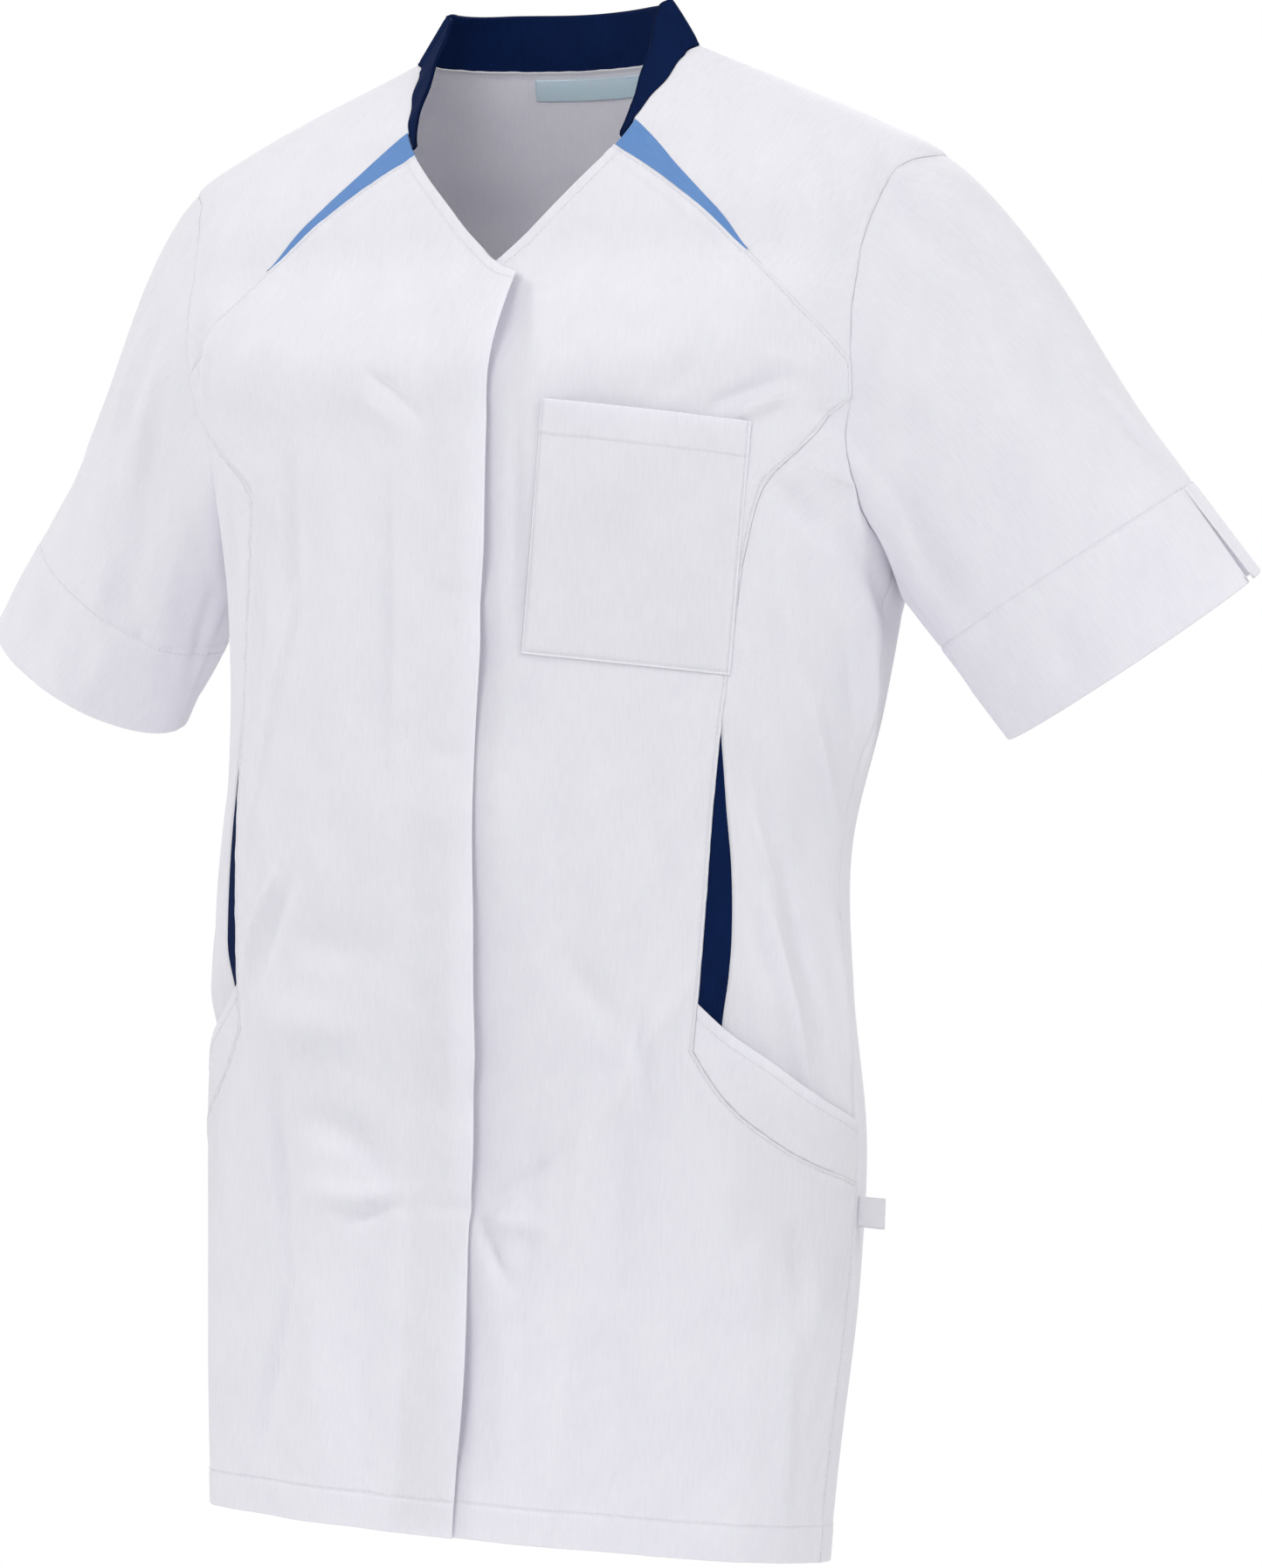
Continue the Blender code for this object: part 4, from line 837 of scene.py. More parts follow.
def faced(distance, along):
    """A neck edge turned over a facing, sewn a few millimetres in."""
    groove = 0.0003 * np.exp(-((distance - FACING) / 0.0010)**2)
    return 0.0003 * (1 - smooth(distance, FACING, FACING + 0.003)) - groove


TUCK_ALONG, TUCK_DOWN = 0.0035, 0.0014


def tucked(points, normal, uv, edges):
    """One more row beyond each named edge, further along and a little lower: the seam allowance that lies
    under the neighbour, so that no seam stands open."""
    for edge in edges:
        flip = (slice(None), slice(None, None, -1)) if edge == "r" else (slice(None, None, -1),) * (edge == "b")
        points, normal, uv = points[flip], normal[flip], uv[flip]
        axis = 1 if edge in "lr" else 0
        first, second = [np.take(points, [k], axis) for k in (0, 1)]
        up = np.take(normal, [0], axis)
        beyond = first + TUCK_ALONG * unit(first - second) - TUCK_DOWN * up
        points = np.concatenate([beyond, points], axis)
        normal = np.concatenate([up, normal], axis)
        measure = np.take(uv, [0], axis)
        uv = np.concatenate([measure * 2 - np.take(uv, [1], axis), uv], axis)
        points, normal, uv = points[flip], normal[flip], uv[flip]
    return points, normal, uv


def from_edges(points):
    """Each grid point's distance from the four edges: measured along its grid line, times the sine of the
    angle at which that line meets the edge. What lies along each edge comes with it."""
    across = np.linalg.norm(np.diff(points, axis=1), axis=-1)
    down = np.linalg.norm(np.diff(points, axis=0), axis=-1)
    left = np.pad(np.cumsum(across, 1), ((0, 0), (1, 0)))
    top = np.pad(np.cumsum(down, 0), ((1, 0), (0, 0)))
    right, bottom = left[:, -1:] - left, top[-1:] - top

    def sine(edge, inside):
        return np.linalg.norm(np.cross(unit(inside - edge), unit(np.gradient(edge, axis=0))), axis=-1)
    return {"l": (left * sine(points[:, 0], points[:, 3])[:, None], top),
            "r": (right * sine(points[:, -1], points[:, -4])[:, None], top),
            "t": (top * sine(points[0], points[3])[None], left),
            "b": (bottom * sine(points[-1], points[-4])[None], left)}


def line_inside(points, distance, way, at):
    """The line at one distance inside an edge: between the last grid point short of it and the next."""
    if way in "tb":
        points, distance = points.swapaxes(0, 1), distance.T
    if way in "rb":
        points, distance = points[:, ::-1], distance[:, ::-1]
    i = np.clip((distance < at).sum(1), 1, distance.shape[1] - 1)
    row = np.arange(len(distance))
    before, after = distance[row, i - 1], distance[row, i]
    share = np.clip((at - before) / np.maximum(after - before, 1e-9), 0, 1)[:, None]
    return points[row, i - 1] * (1 - share) + points[row, i] * share


print("hem", HEM_TURN * 1000, "mm deep")

# %% [markdown]
# ## Stitches
# A stitch line could be a dashed bump, but real beads of thread catch the light and stay in the mesh. Each
# stitch is a short four-sided tube that dips at both ends, and a whole line is made as one set of arrays.

# %% Beads of thread
STITCH = 0.0026
STITCH_STEP = 0.0033
THREAD = 0.00046


def stitch_points(line, normal, thread=THREAD):
    """Along the line, every step, four rings of four points: thin and sunk at the ends, full between."""
    travelled = np.concatenate([[0], np.cumsum(np.linalg.norm(np.diff(line, axis=0), axis=1))])
    starts = np.arange(0, max(travelled[-1] - STITCH, STITCH_STEP / 2), STITCH_STEP)
    at = starts[:, None] + np.array([0, 0.22, 0.78, 1]) * STITCH

    def read(values):
        return np.stack([np.interp(at, travelled, values[:, k]) for k in range(3)], -1)
    place, out = read(line), unit(read(normal))
    ahead = unit(place[:, -1:] - place[:, :1])
    side = unit(np.cross(ahead, out))
    radius = thread / 2 * np.array([0.3, 1, 1, 0.3])[None, :, None]
    place = place + out * np.array([-0.00016, 0.00010, 0.00010, -0.00016])[None, :, None]
    turns = np.radians([45, 135, 225, 315])
    ring = [place + radius * (np.cos(turn) * side + np.sin(turn) * out) for turn in turns]
    return np.stack(ring, 2).reshape(-1, 3)


def stitching(name, lines, look, thread=THREAD):
    """All the stitches of one piece as one mesh: 14 quads each."""
    points = np.concatenate([stitch_points(line, normal, thread) for line, normal in lines])
    k, j = np.arange(3)[:, None], np.arange(4)[None, :]
    a, b = k * 4 + j, k * 4 + (j + 1) % 4
    tube = np.stack([a, b, b + 4, a + 4], -1).reshape(-1, 4)
    one = np.concatenate([tube, [[3, 2, 1, 0], [12, 13, 14, 15]]])
    faces = (one[None] + 16 * np.arange(len(points) // 16)[:, None, None]).reshape(-1, 4)
    first = points[faces[0]]
    facing = np.cross(first[1] - first[0], first[3] - first[0]) @ (first.mean(0) - points[:16].mean(0))
    if facing < 0:
        faces = faces[:, ::-1]
    return new_piece(name, points, faces, look, points[:, [0, 2]])


print("a stitch every", STITCH_STEP * 1000, "mm")

# %% [markdown]
# ## One piece of the body
# Every flat-cut piece is dressed in the same way: its places are read, the folds and the edge forms are added
# as one height along the surface's normal, and the lines of stitches are read from the finished grid.

# %% Dressing a piece of the body
LOOK = {"white": WHITE, "navy": NAVY, "blue": BLUE}
THREADS = {"white": WHITE_THREAD, "navy": NAVY_THREAD, "blue": WHITE_THREAD}


def body_piece(name, side, places, colour, forms, sewn, tucks, out=0.0, aside=0.0):
    """forms: the form of each edge. sewn: pairs of an edge and a distance, one for each line of stitches.
    tucks: the edges that go on under a neighbour."""
    signed, height = swing(side, places[..., 0], places[..., 1]), places[..., 1]
    base, normal = surface(signed, height), outward(signed, height)
    distances = from_edges(base)
    total = out + creases(CREASES, signed, height, DEGREE, 1.0)
    for edge, form in forms.items():
        total = total + form(*distances[edge])
    points = base + normal * total[..., None] + (aside + 0 * total)[..., None] * (1, 0, 0)
    uv = np.stack([distances["l"][1] * 0 + np.linalg.norm(base[:, :1] - base, axis=-1), distances["l"][1]], -1)
    whole, away, measure = tucked(points, normal, uv, tucks)
    piece = shell(name + "_cloth", whole.reshape(-1, 3), grid_quads(*whole.shape[:2]), away.reshape(-1, 3),
                  measure.reshape(-1, 2), LOOK[colour])
    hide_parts(name)
    lines = [(line_inside(points, distances[edge][0], edge, at), line_inside(normal, distances[edge][0], edge, at))
             for edge, at in sewn]
    extra = [stitching(name + "_stitches", lines, THREADS[colour])] if lines else []
    print(name, len(piece.data.polygons), "quads,", sum(len(line) for line, _ in lines), "stitch places")
    return points, normal, distances


# %% [markdown]
# ## The fronts
# Both fronts have the same cut. Each passes the centre line by 18 mm, and the wearer's right one lies on top.
# Its buttons are hidden in a fly: a strip of more layers, tacked between the buttons, whose loose edge waves.

# %% Places of a front
FRONT_OUTER = [(WEDGE_LOW, S["wedge"]), ([WEDGE_LOW[-1], YOKE_SEAM[0]], 1), (YOKE_SEAM, S["yoke"]),
               (ARMHOLE_FRONT, S["arm_front"]), (FRONT_PRINCESS, S["princess"]), (INSET_INNER, S["inset"]),
               *WELT_END, (WELT_LOW, S["welt"]), *SIDE_LOW]
FRONT_COLUMNS = 8
CORNERS = [4, 5, 8, 9, 16, 22, 24, 31]    # steps at which the outer line turns


def turn_at(x, height):
    """The turn at which the front is x metres off the centre line."""
    return np.degrees(np.arctan2(x, over_rows(SECTIONS, height, 3)))


def front_line(x, share):
    """A line down the front at x: its rows settle from the slanting neck edge to heights that all share."""
    slope = (WEDGE_LOW_CORNER[1] - NECK_POINT[1]) / WEDGE_LOW_CORNER[0]
    top = NECK_POINT[1] + (slope * turn_at(x, NECK_POINT[1]) if x > 0 else x * CORNER_SLOPE)
    foot = hem_line(np.array([turn_at(x, HEM_HEIGHT)]))[0, 1]
    heights = NECK_POINT[1] + (foot - NECK_POINT[1]) * share
    heights = heights + (top - NECK_POINT[1]) * np.clip(1 - share / NECK_BLEND, 0, 1)
    return np.stack([turn_at(x, heights), heights], -1)


def pairs(points):
    """A line given point by point, one step between each two."""
    return [([tuple(a), tuple(b)], 1) for a, b in zip(points[:-1].tolist(), points[1:].tolist())]


def front_grid():
    """The part past the centre line column by column, then a patch out to the side."""
    steps = steps_of(FRONT_OUTER)
    outer = read_line(FRONT_OUTER, np.arange(steps + 1.0))
    measured = np.cumsum(np.linalg.norm(np.diff(surface(outer[:, 0], outer[:, 1]), axis=0), axis=1))
    share = np.concatenate([[0], measured / measured[-1]])
    start = front_line(OVERLAP, share)
    u = np.linspace(0, 1, FRONT_COLUMNS + 1)
    neckline = [([tuple(start[0]), tuple(outer[0])], FRONT_COLUMNS)]
    hem = hem_line(start[-1, 0] * (1 - u) + outer[-1, 0] * u)
    hem[0], hem[-1] = start[-1], outer[-1]
    rest, rows = patch(neckline, pairs(hem), pairs(start), FRONT_OUTER,
                       near=dict(l=SEWN_LINES[:1], b=HEM_LINES), keep_rows=CORNERS)
    fine_share = np.interp(rows, np.arange(steps + 1), share)
    past = np.concatenate([-OVERLAP + SEWN_LINES, np.linspace(-0.006, OVERLAP, 9)])
    strip = np.stack([front_line(x, fine_share) for x in past], 1)
    return np.concatenate([strip, rest[:, 1:]], 1)


front = front_grid()
print("front grid", front.shape[0], "by", front.shape[1])

# %% How the right front lies over the left one
FRONT_OVER = 0.0030
FLY_FROM, FLY_TO = -0.030, -0.026       # where the fly's layers begin, metres from the centre line
EDGE_REACH = 0.65         # it also swings out sideways, by this share of what it stands off
# How far the loose edge stands off, in mm, from the neck corner down: it touches down at each button.
EDGE_WAVES = np.array([
    (-0.121, 1.5), (-0.146, 6.0), (-0.170, 9.5), (-0.194, 3.2), (-0.225, 4.6), (-0.265, 6.2), (-0.292, 7.4),
    (-0.316, 3.4), (-0.340, 6.6), (-0.370, 3.2), (-0.395, 1.0), (-0.430, 1.2), (-0.446, 2.0), (-0.483, 5.6),
    (-0.530, 7.0), (-0.562, 8.6), (-0.580, 5.4), (-0.610, 6.2), (-0.640, 3.4), (-0.660, 0.5), (-0.680, 2.0),
    (-0.705, 5.6), (-0.735, 8.4), (-0.760, 6.8), (-0.785, 1.8), (-0.800, 1.0), (-0.860, 0.6)])
# Small dents on the fly: height, metres from the centre, half length, half height, depth in mm.
FLY_DENTS = np.array([
    (-0.170, -0.010, 0.004, 0.014, -0.7), (-0.226, -0.021, 0.003, 0.010, -0.9), (-0.240, -0.010, 0.003, 0.018, -0.6),
    (-0.303, -0.021, 0.003, 0.008, -0.8), (-0.311, 0.004, 0.012, 0.005, -1.0), (-0.388, -0.023, 0.003, 0.008, -0.9),
    (-0.399, 0.002, 0.012, 0.006, -1.2), (-0.470, -0.024, 0.003, 0.008, -0.9), (-0.484, 0.000, 0.014, 0.006, -0.9),
    (-0.553, -0.025, 0.003, 0.008, -0.9), (-0.560, 0.001, 0.014, 0.008, -0.6), (-0.645, 0.004, 0.014, 0.005, -1.3),
    (-0.648, -0.020, 0.006, 0.005, -0.8), (-0.430, -0.004, 0.018, 0.012, 0.8), (-0.350, -0.004, 0.016, 0.012, 0.7),
    (-0.515, -0.006, 0.018, 0.012, 0.7), (-0.605, -0.006, 0.018, 0.014, 0.8), (-0.700, -0.008, 0.018, 0.020, 0.6)])


def right_front_lift(places):
    """The overlap, the fly's step, the loose edge's waves read smoothly from the table, and bell-shaped dents."""
    turn, height = places[..., 0], places[..., 1]
    x = -np.tan(np.radians(turn)) * over_rows(SECTIONS, height, 3)
    lift = FRONT_OVER * smooth(x, -0.055, -OVERLAP - 0.002) + 0.0005 * smooth(x, FLY_FROM, FLY_TO)
    loose = smooth(x, 0.001, OVERLAP)**1.3 * over_rows(EDGE_WAVES, height, 1) / 1000
    lift = lift + loose
    for at, across, half_x, half_z, depth in FLY_DENTS:
        lift = lift + depth / 1000 * np.exp(-((x - across) / half_x)**2 - ((height - at) / half_z)**2)
    return lift, EDGE_REACH * loose


FRONT_FORMS = dict(r=pressed_over, t=faced, b=hemmed)
FRONT_SEWN = [("r", STITCH_IN), ("t", FACING), ("b", HEM_TURN)]
body_piece("front_left", 1, front, "white", FRONT_FORMS, FRONT_SEWN, "")
lift, reach = right_front_lift(front)
body_piece("front_right", -1, front, "white", FRONT_FORMS, FRONT_SEWN, "", lift, reach)

# %% [markdown]
# ## Side fronts, insets, wedges, welts and yokes
# The princess seam gives the dress its shape. Below it a narrow navy inset opens out, and at its foot the hip
# pocket's welt begins: a turned band, behind which the side front goes on down as the pocket's back.

# %% Side fronts

def mouth_height(turn):
    """The height of the hip pocket's mouth at a turn."""
    table = np.array(MOUTH)
    return np.interp(turn, table[:, 0], table[:, 1])


def pocket_sink(places):
    """The side front falls back towards the pocket's mouth, less so at the side seam, where both are sewn."""
    above = places[..., 1] - mouth_height(places[..., 0])
    at_side = smooth(places[..., 0], 78, 89)
    return (-POCKET_SINK * (1 - smooth(above, 0.003, 0.040)) * (1 - 0.8 * at_side)
            - 0.0012 * at_side * (1 - smooth(above, -0.001, 0.004)))


inner_end = INSET_OUTER[-1]
inside_pocket = (inner_end[0] + 1.5, inner_end[1] - POCKET_DEPTH)
outside_pocket = (SIDE_TURN, MOUTH[-1][1] - POCKET_DEPTH)
SIDE_LEFT = [(SIDE_PRINCESS, S["princess"]), (INSET_OUTER, S["inset"]),
             ([inner_end, inside_pocket], S["in_pocket"])]
SIDE_RIGHT = SIDE_LINE + [([MOUTH[-1], outside_pocket], S["in_pocket"])]
side_places, _ = patch([(ARMHOLE_SIDE, S["arm_side"])], [([inside_pocket, outside_pocket], S["arm_side"])],
                       SIDE_LEFT, SIDE_RIGHT, keep_rows=[7, 13])
for side, word in ((1, "left"), (-1, "right")):
    body_piece("side_front_" + word, side, side_places, "white",
               dict(r=passed_under, t=passed_under), [], "l",
               out=pocket_sink(side_places))

# %% Insets, wedges, welts and yokes
inset_places, _ = patch([([INSET_INNER[0], INSET_OUTER[0]], 2)], [([INSET_INNER[-1], INSET_OUTER[-1]], 2)],
                        [(INSET_INNER, S["inset"])], [(INSET_OUTER, S["inset"])])
wedge_places, _ = patch([([WEDGE_LOW[0], WEDGE_HIGH[0]], 2)], [([WEDGE_LOW[-1], WEDGE_HIGH[-1]], 2)],
                        [(WEDGE_LOW, S["wedge"])], [(WEDGE_HIGH, S["wedge"])])
welt_places, _ = patch([(MOUTH, S["welt"])], [(WELT_LOW, S["welt"])], WELT_END, SIDE_WELT)
YOKE_FRONT = [(WEDGE_HIGH, S["wedge"]), ([WEDGE_HIGH[-1], YOKE_SEAM[0]], 1), (YOKE_SEAM, S["yoke"])]
YOKE_ARM = [(ARMHOLE_YOKE_FRONT, S["arm_yoke_front"]), (ARMHOLE_YOKE_BACK, S["arm_yoke_back"])]
SHOULDER = [(SHOULDER_SEAM, S["wedge"] + S["yoke"] + 1)]
NECK_LINE = [(NECK_SEAM, S["arm_yoke_front"] + S["arm_yoke_back"])]
yoke_places, _ = patch(YOKE_FRONT, SHOULDER, NECK_LINE, YOKE_ARM, keep_columns=[4, 5])
MOUTH_STITCH = 0.006
inset_across = np.linspace(0, 1, inset_places.shape[1])[None]
inset_sink = pocket_sink(inset_places) * inset_across - 0.0012
for side, word in ((1, "left"), (-1, "right")):
    body_piece("inset_" + word, side, inset_places, "navy", {}, [], "lrb", out=inset_sink)
    body_piece("wedge_" + word, side, wedge_places, "blue", {}, [], "lrb", out=-0.0002)
    body_piece("pocket_welt_" + word, side, welt_places, "white", dict(t=faced, r=passed_under),
               [("t", MOUTH_STITCH)], "lb", out=0.0003)
    body_piece("yoke_" + word, side, yoke_places, "white", dict(r=passed_under, b=passed_under), [], "tl")

# %% [markdown]
# ## The back
# The picture doesn't show the back, so it is one plain piece, as most such tunics have, with a hem and folds
# like those of the front: drags from the arms, a soft sway at the waist and long folds in the skirt.

# %% Back
BACK_SIDE = [(ARMHOLE_BACK, S["arm_back"]), *SIDE_LINE, *SIDE_WELT, *SIDE_LOW]
NECK_BACK_LINE = [(NECK_BACK, S["neck_back"])]
back_top = backwards(SHOULDER) + NECK_BACK_LINE + other_half(SHOULDER)
top_steps = steps_of(back_top)
back_hem = hem_line(np.linspace(SIDE_TURN, 360 - SIDE_TURN, top_steps + 1))
back_hem[0], back_hem[-1] = HEM_SIDE, (360 - HEM_SIDE[0], HEM_SIDE[1])
shoulder_steps = steps_of(SHOULDER)
back_places, _ = patch(back_top, pairs(back_hem), BACK_SIDE, other_half(BACK_SIDE), near=dict(b=HEM_LINES),
                       keep_columns=[shoulder_steps, top_steps - shoulder_steps], keep_rows=[9])
back_points, back_normal, back_distances = body_piece(
    "back", 1, back_places, "white", dict(t=passed_under, l=passed_under, r=passed_under, b=hemmed),
    [("b", HEM_TURN)], "tlr")

# %% [markdown]
# ## Sleeves
# A set-in sleeve leaves the armhole square to the shoulder and turns down into a tube. Each of its lines is a
# smooth path from the armhole to a flat oval ring at the arm, and from there straight to the cuff's ring.

# %% Sleeve form
CAP_ROWS = 40
SLEEVE_COLUMNS = 144      # six for each step of the armhole's seams
VENT_COLUMN = 6           # the vent's column, counted from the shoulder point towards the front
# On the sleeve: first angle and share of the length, second ones, half width, height and bend in mm.
SLEEVE_DEGREE, SLEEVE_LENGTH = 0.0011, 0.25
LEFT_CREASES = np.array([
    (352, 0.06, 350, 0.34, 6, -1.6, 3), (14, 0.03, 22, 0.22, 7, 2.2, 3), (30, 0.01, 41, 0.09, 6, -2.4, 0),
    (41, 0.08, 37, 0.25, 6, -2.0, 0), (30, 0.28, 58, 0.42, 8, -1.8, 3), (28, 0.36, 56, 0.49, 8, 1.4, 3),
    (30, 0.44, 55, 0.55, 7, -1.6, 3), (27, 0.54, 17, 0.76, 4, -1.8, 3), (21, 0.55, 11, 0.76, 5, 1.4, 3),
    (100, 0.10, 78, 0.16, 7, 1.8, 0), (110, 0.18, 90, 0.26, 8, -1.8, 0),
    (120, 0.24, 130, 0.62, 10, -2.2, 4), (60, 0.36, 74, 0.74, 14, 1.8, 0), (140, 0.40, 136, 0.90, 9, 1.8, 0),
    (160, 0.26, 168, 0.70, 8, -2.0, 0), (200, 0.24, 196, 0.80, 9, 2.2, 0), (222, 0.12, 240, 0.70, 10, -2.4, 4),
    (262, 0.10, 268, 0.66, 11, 2.2, 4), (290, 0.16, 296, 0.72, 9, -2.2, 0), (320, 0.08, 322, 0.60, 8, 2.0, 0),
    (300, 0.74, 330, 0.98, 8, 1.4, 0), (100, 0.80, 104, 0.98, 9, -1.2, 0), (46, 0.76, 40, 0.97, 8, 1.2, 0)])
RIGHT_CREASES = np.array([
    (350, 0.05, 348, 0.40, 7, 2.0, 3), (8, 0.10, 14, 0.52, 7, -2.2, 0), (24, 0.06, 34, 0.36, 6, -1.6, 3),
    (42, 0.23, 58, 0.46, 7, 2.2, 3), (58, 0.14, 72, 0.44, 8, -2.2, 0), (75, 0.12, 83, 0.32, 7, 2.2, 0),
    (92, 0.20, 100, 0.50, 8, -1.8, 0),
    (34, 0.50, 60, 0.62, 8, 1.8, 0), (104, 0.20, 112, 0.66, 9, -1.8, 0), (92, 0.58, 100, 0.74, 7, 1.8, 0),
    (130, 0.30, 140, 0.84, 9, 2.0, 0), (20, 0.56, 26, 0.74, 6, -1.6, 0), (160, 0.28, 168, 0.74, 8, -2.0, 0),
    (198, 0.24, 196, 0.80, 9, 2.2, 0), (224, 0.12, 240, 0.70, 10, -2.4, 4), (262, 0.12, 268, 0.66, 11, 2.2, 4),
    (290, 0.16, 296, 0.72, 9, -2.2, 0), (322, 0.08, 322, 0.60, 8, 2.0, 0), (70, 0.80, 74, 0.98, 10, -1.6, 0),
    (110, 0.78, 112, 0.98, 8, 1.6, 0), (30, 0.82, 32, 0.98, 9, 1.2, 0)])

SLEEVE_SEAM = np.array([(180, 0.0, 180, 1.0, 3, -0.7, 0)])   # the underarm seam
BAND_CLOSE = np.array([0.0011, 0.0022, 0.0042])   # closer rows beside the facing's stitches and the cuff's edge


def along_hermite(a, b, slope_a, slope_b, u):
    """A smooth path from a to b with these slopes at its ends."""
    return ((2 * u**3 - 3 * u**2 + 1) * a + (u**3 - 2 * u**2 + u) * slope_a
            + (3 * u**2 - 2 * u**3) * b + (u**3 - u**2) * slope_b)


def ring(table, angle):
    """A flat oval between its top and bottom points, with its front at a quarter turn."""
    top, bottom, front_way = np.array(table)
    middle, up = (top + bottom) / 2, (top - bottom) / 2
    return middle + np.cos(angle)[:, None] * up + np.sin(angle)[:, None] * front_way


def armhole_places(count):
    """The armhole from the shoulder point, down the front, under the arm and up the back."""
    line = (backwards([YOKE_ARM[0]]) + [(ARMHOLE_FRONT, S["arm_front"]), (ARMHOLE_SIDE, S["arm_side"])]
            + backwards([(ARMHOLE_BACK, S["arm_back"])]) + backwards([YOKE_ARM[1]]))
    return read_line(line, np.linspace(0, steps_of(line), count + 1))[:-1]


def sleeve_grid(side, table):
    """Rows of rings from the armhole to the cuff, each point on its own path, and every ring's angles."""
    hole = armhole_places(SLEEVE_COLUMNS)
    mirror = np.array([side, 1, 1])
    signed = swing(side, hole[:, 0], hole[:, 1])
    normal = outward(signed, hole[:, 1])
    root = (surface(signed, hole[:, 1])
            + normal * creases(CREASES, signed, hole[:, 1], DEGREE, 1.0)[:, None]) * mirror
    plain = surface(signed, hole[:, 1]) * mirror
    steps = np.linalg.norm(np.roll(plain, -1, 0) - plain, axis=1)
    travelled = np.concatenate([[0], np.cumsum(steps)[:-1]])
    under = int(np.argmin(plain[:, 2]))
    back_share = (travelled[under:] - travelled[under]) / (steps.sum() - travelled[under])
    angle = np.pi * np.concatenate([travelled[:under + 1] / travelled[under], 1 + back_share[1:]])
    arm, cuff = ring(table["arm"], angle), ring(table["cuff"], angle)
    axis = unit(cuff.mean(0) - arm.mean(0))
    cap = (0.5 + 0.5 * np.cos(angle))[:, None]
    leave = unit(cap * CAP_OUT + (1 - cap) * axis)
    root = root - 0.0004 * normal * mirror
    span = np.linalg.norm(arm - root, axis=1, keepdims=True)
    u = np.linspace(0, 1, CAP_ROWS + 1)**1.15
    rows = [along_hermite(root, arm, leave * span, axis * span, share) for share in u]
    length = np.linalg.norm(cuff.mean(0) - arm.mean(0))
    above = length - CUFF_BAND - np.concatenate([BAND_CLOSE[::-1], np.arange(0.007, length - CUFF_BAND, 0.0032)])
    below = length - CUFF_BAND + np.concatenate([[0], BAND_CLOSE, np.arange(0.008, CUFF_BAND - 0.002, 0.0034),
                                                 CUFF_BAND - BAND_CLOSE[1::-1], [CUFF_BAND]])
    at = np.concatenate([np.sort(above), below])
    inside = root - TUCK_ALONG * leave - TUCK_DOWN * normal * mirror
    rows += [arm + (cuff - arm) * share for share in at[at > 0.001] / length]
    roll = -VENT_COLUMN
    return np.roll(np.array([inside] + rows), roll, axis=1), np.roll(angle, roll), mirror


print("sleeve:", SLEEVE_COLUMNS, "columns,", CAP_ROWS, "rows in the cap")

# %% Sleeves
TACK = 0.007


def sleeve(name, side, table, folds):
    """The form, then folds and sewn lines as a height, then the vent: above it the two ends of each ring are
    one point, and below it they part a little more from row to row."""
    grid, angle, mirror = sleeve_grid(side, table)
    around = np.roll(grid, -1, 1) - np.roll(grid, 1, 1)
    normal = unit(np.cross(np.gradient(grid, axis=0), around))
    if (normal[-1] * (grid[-1] - grid[-1].mean(0))).sum() < 0:
        normal = -normal
    down = np.concatenate([np.zeros((1, grid.shape[1])),
                           np.cumsum(np.linalg.norm(np.diff(grid, axis=0), axis=-1), 0)])
    across = np.cumsum(np.linalg.norm(around / 2, axis=-1).mean(0))
    from_band = down - down[-1:] + CUFF_BAND
    turned = np.degrees(angle)[None]
    lift = creases(folds, turned, down / down[-1:], SLEEVE_DEGREE, SLEEVE_LENGTH)
    lift = lift + creases(SLEEVE_SEAM, turned, down / down[-1:], SLEEVE_DEGREE, SLEEVE_LENGTH)
    lift = lift * smooth(down, TUCK_ALONG, 0.016)
    lift = lift + 0.0005 * smooth(from_band, -0.0002, 0.0015) - 0.0005 * np.exp(-(from_band / 0.0011)**2)
    lift = lift + pucker(across[None], from_band, 0, 0.0005)
    points = grid + normal * lift[..., None]
    band_row = int(np.argmin(np.abs(from_band[:, 0])))
    opening = np.clip(from_band[:, :1] / CUFF_BAND, 0, 1) * VENT_OPEN / 2
    ahead = unit(around[:, 0])
    last = points[:, 0] - ahead * opening
    points[:, 0] = points[:, 0] + ahead * opening
    points = np.concatenate([points, last[:, None]], 1)
    normal = np.concatenate([normal, normal[:, :1]], 1)
    rows, columns = points.shape[:2]
    quads = grid_quads(rows, columns)
    ends = np.arange(band_row + 1) * columns
    renumber = np.arange(rows * columns)
    renumber[ends + columns - 1] = ends
    kept, quads = np.unique(renumber[quads], return_inverse=True)
    uv = np.stack(np.broadcast_arrays(np.concatenate([[0], across])[None], np.pad(down, ((0, 0), (0, 1)), "edge")), -1)
    piece = shell(name + "_cloth", (points * mirror).reshape(-1, 3)[kept], quads.reshape(-1, 4),
                  (normal * mirror).reshape(-1, 3)[kept], uv.reshape(-1, 2)[kept], WHITE,
                  CLOTH, float(across[-1]))
    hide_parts(name)
    line, up = points[band_row] * mirror, normal[band_row] * mirror
    tack = points[band_row, 0] + np.array([-TACK / 2, TACK / 2])[:, None] * ahead[band_row]
    tack = (tack + normal[band_row, :1] * 0.0004) * mirror
    lines = [(line, up), (tack, up[:2])]
    extra = stitching(name + "_stitches", lines, WHITE_THREAD)
    print(name, len(piece.data.polygons), "quads, round", round(float(across[-1]), 3), "m at mid height")
    return points, from_band


for side, word, table, folds in ((1, "left", LEFT_SLEEVE, LEFT_CREASES), (-1, "right", RIGHT_SLEEVE, RIGHT_CREASES)):
    sleeve("sleeve_" + word, side, table, folds)

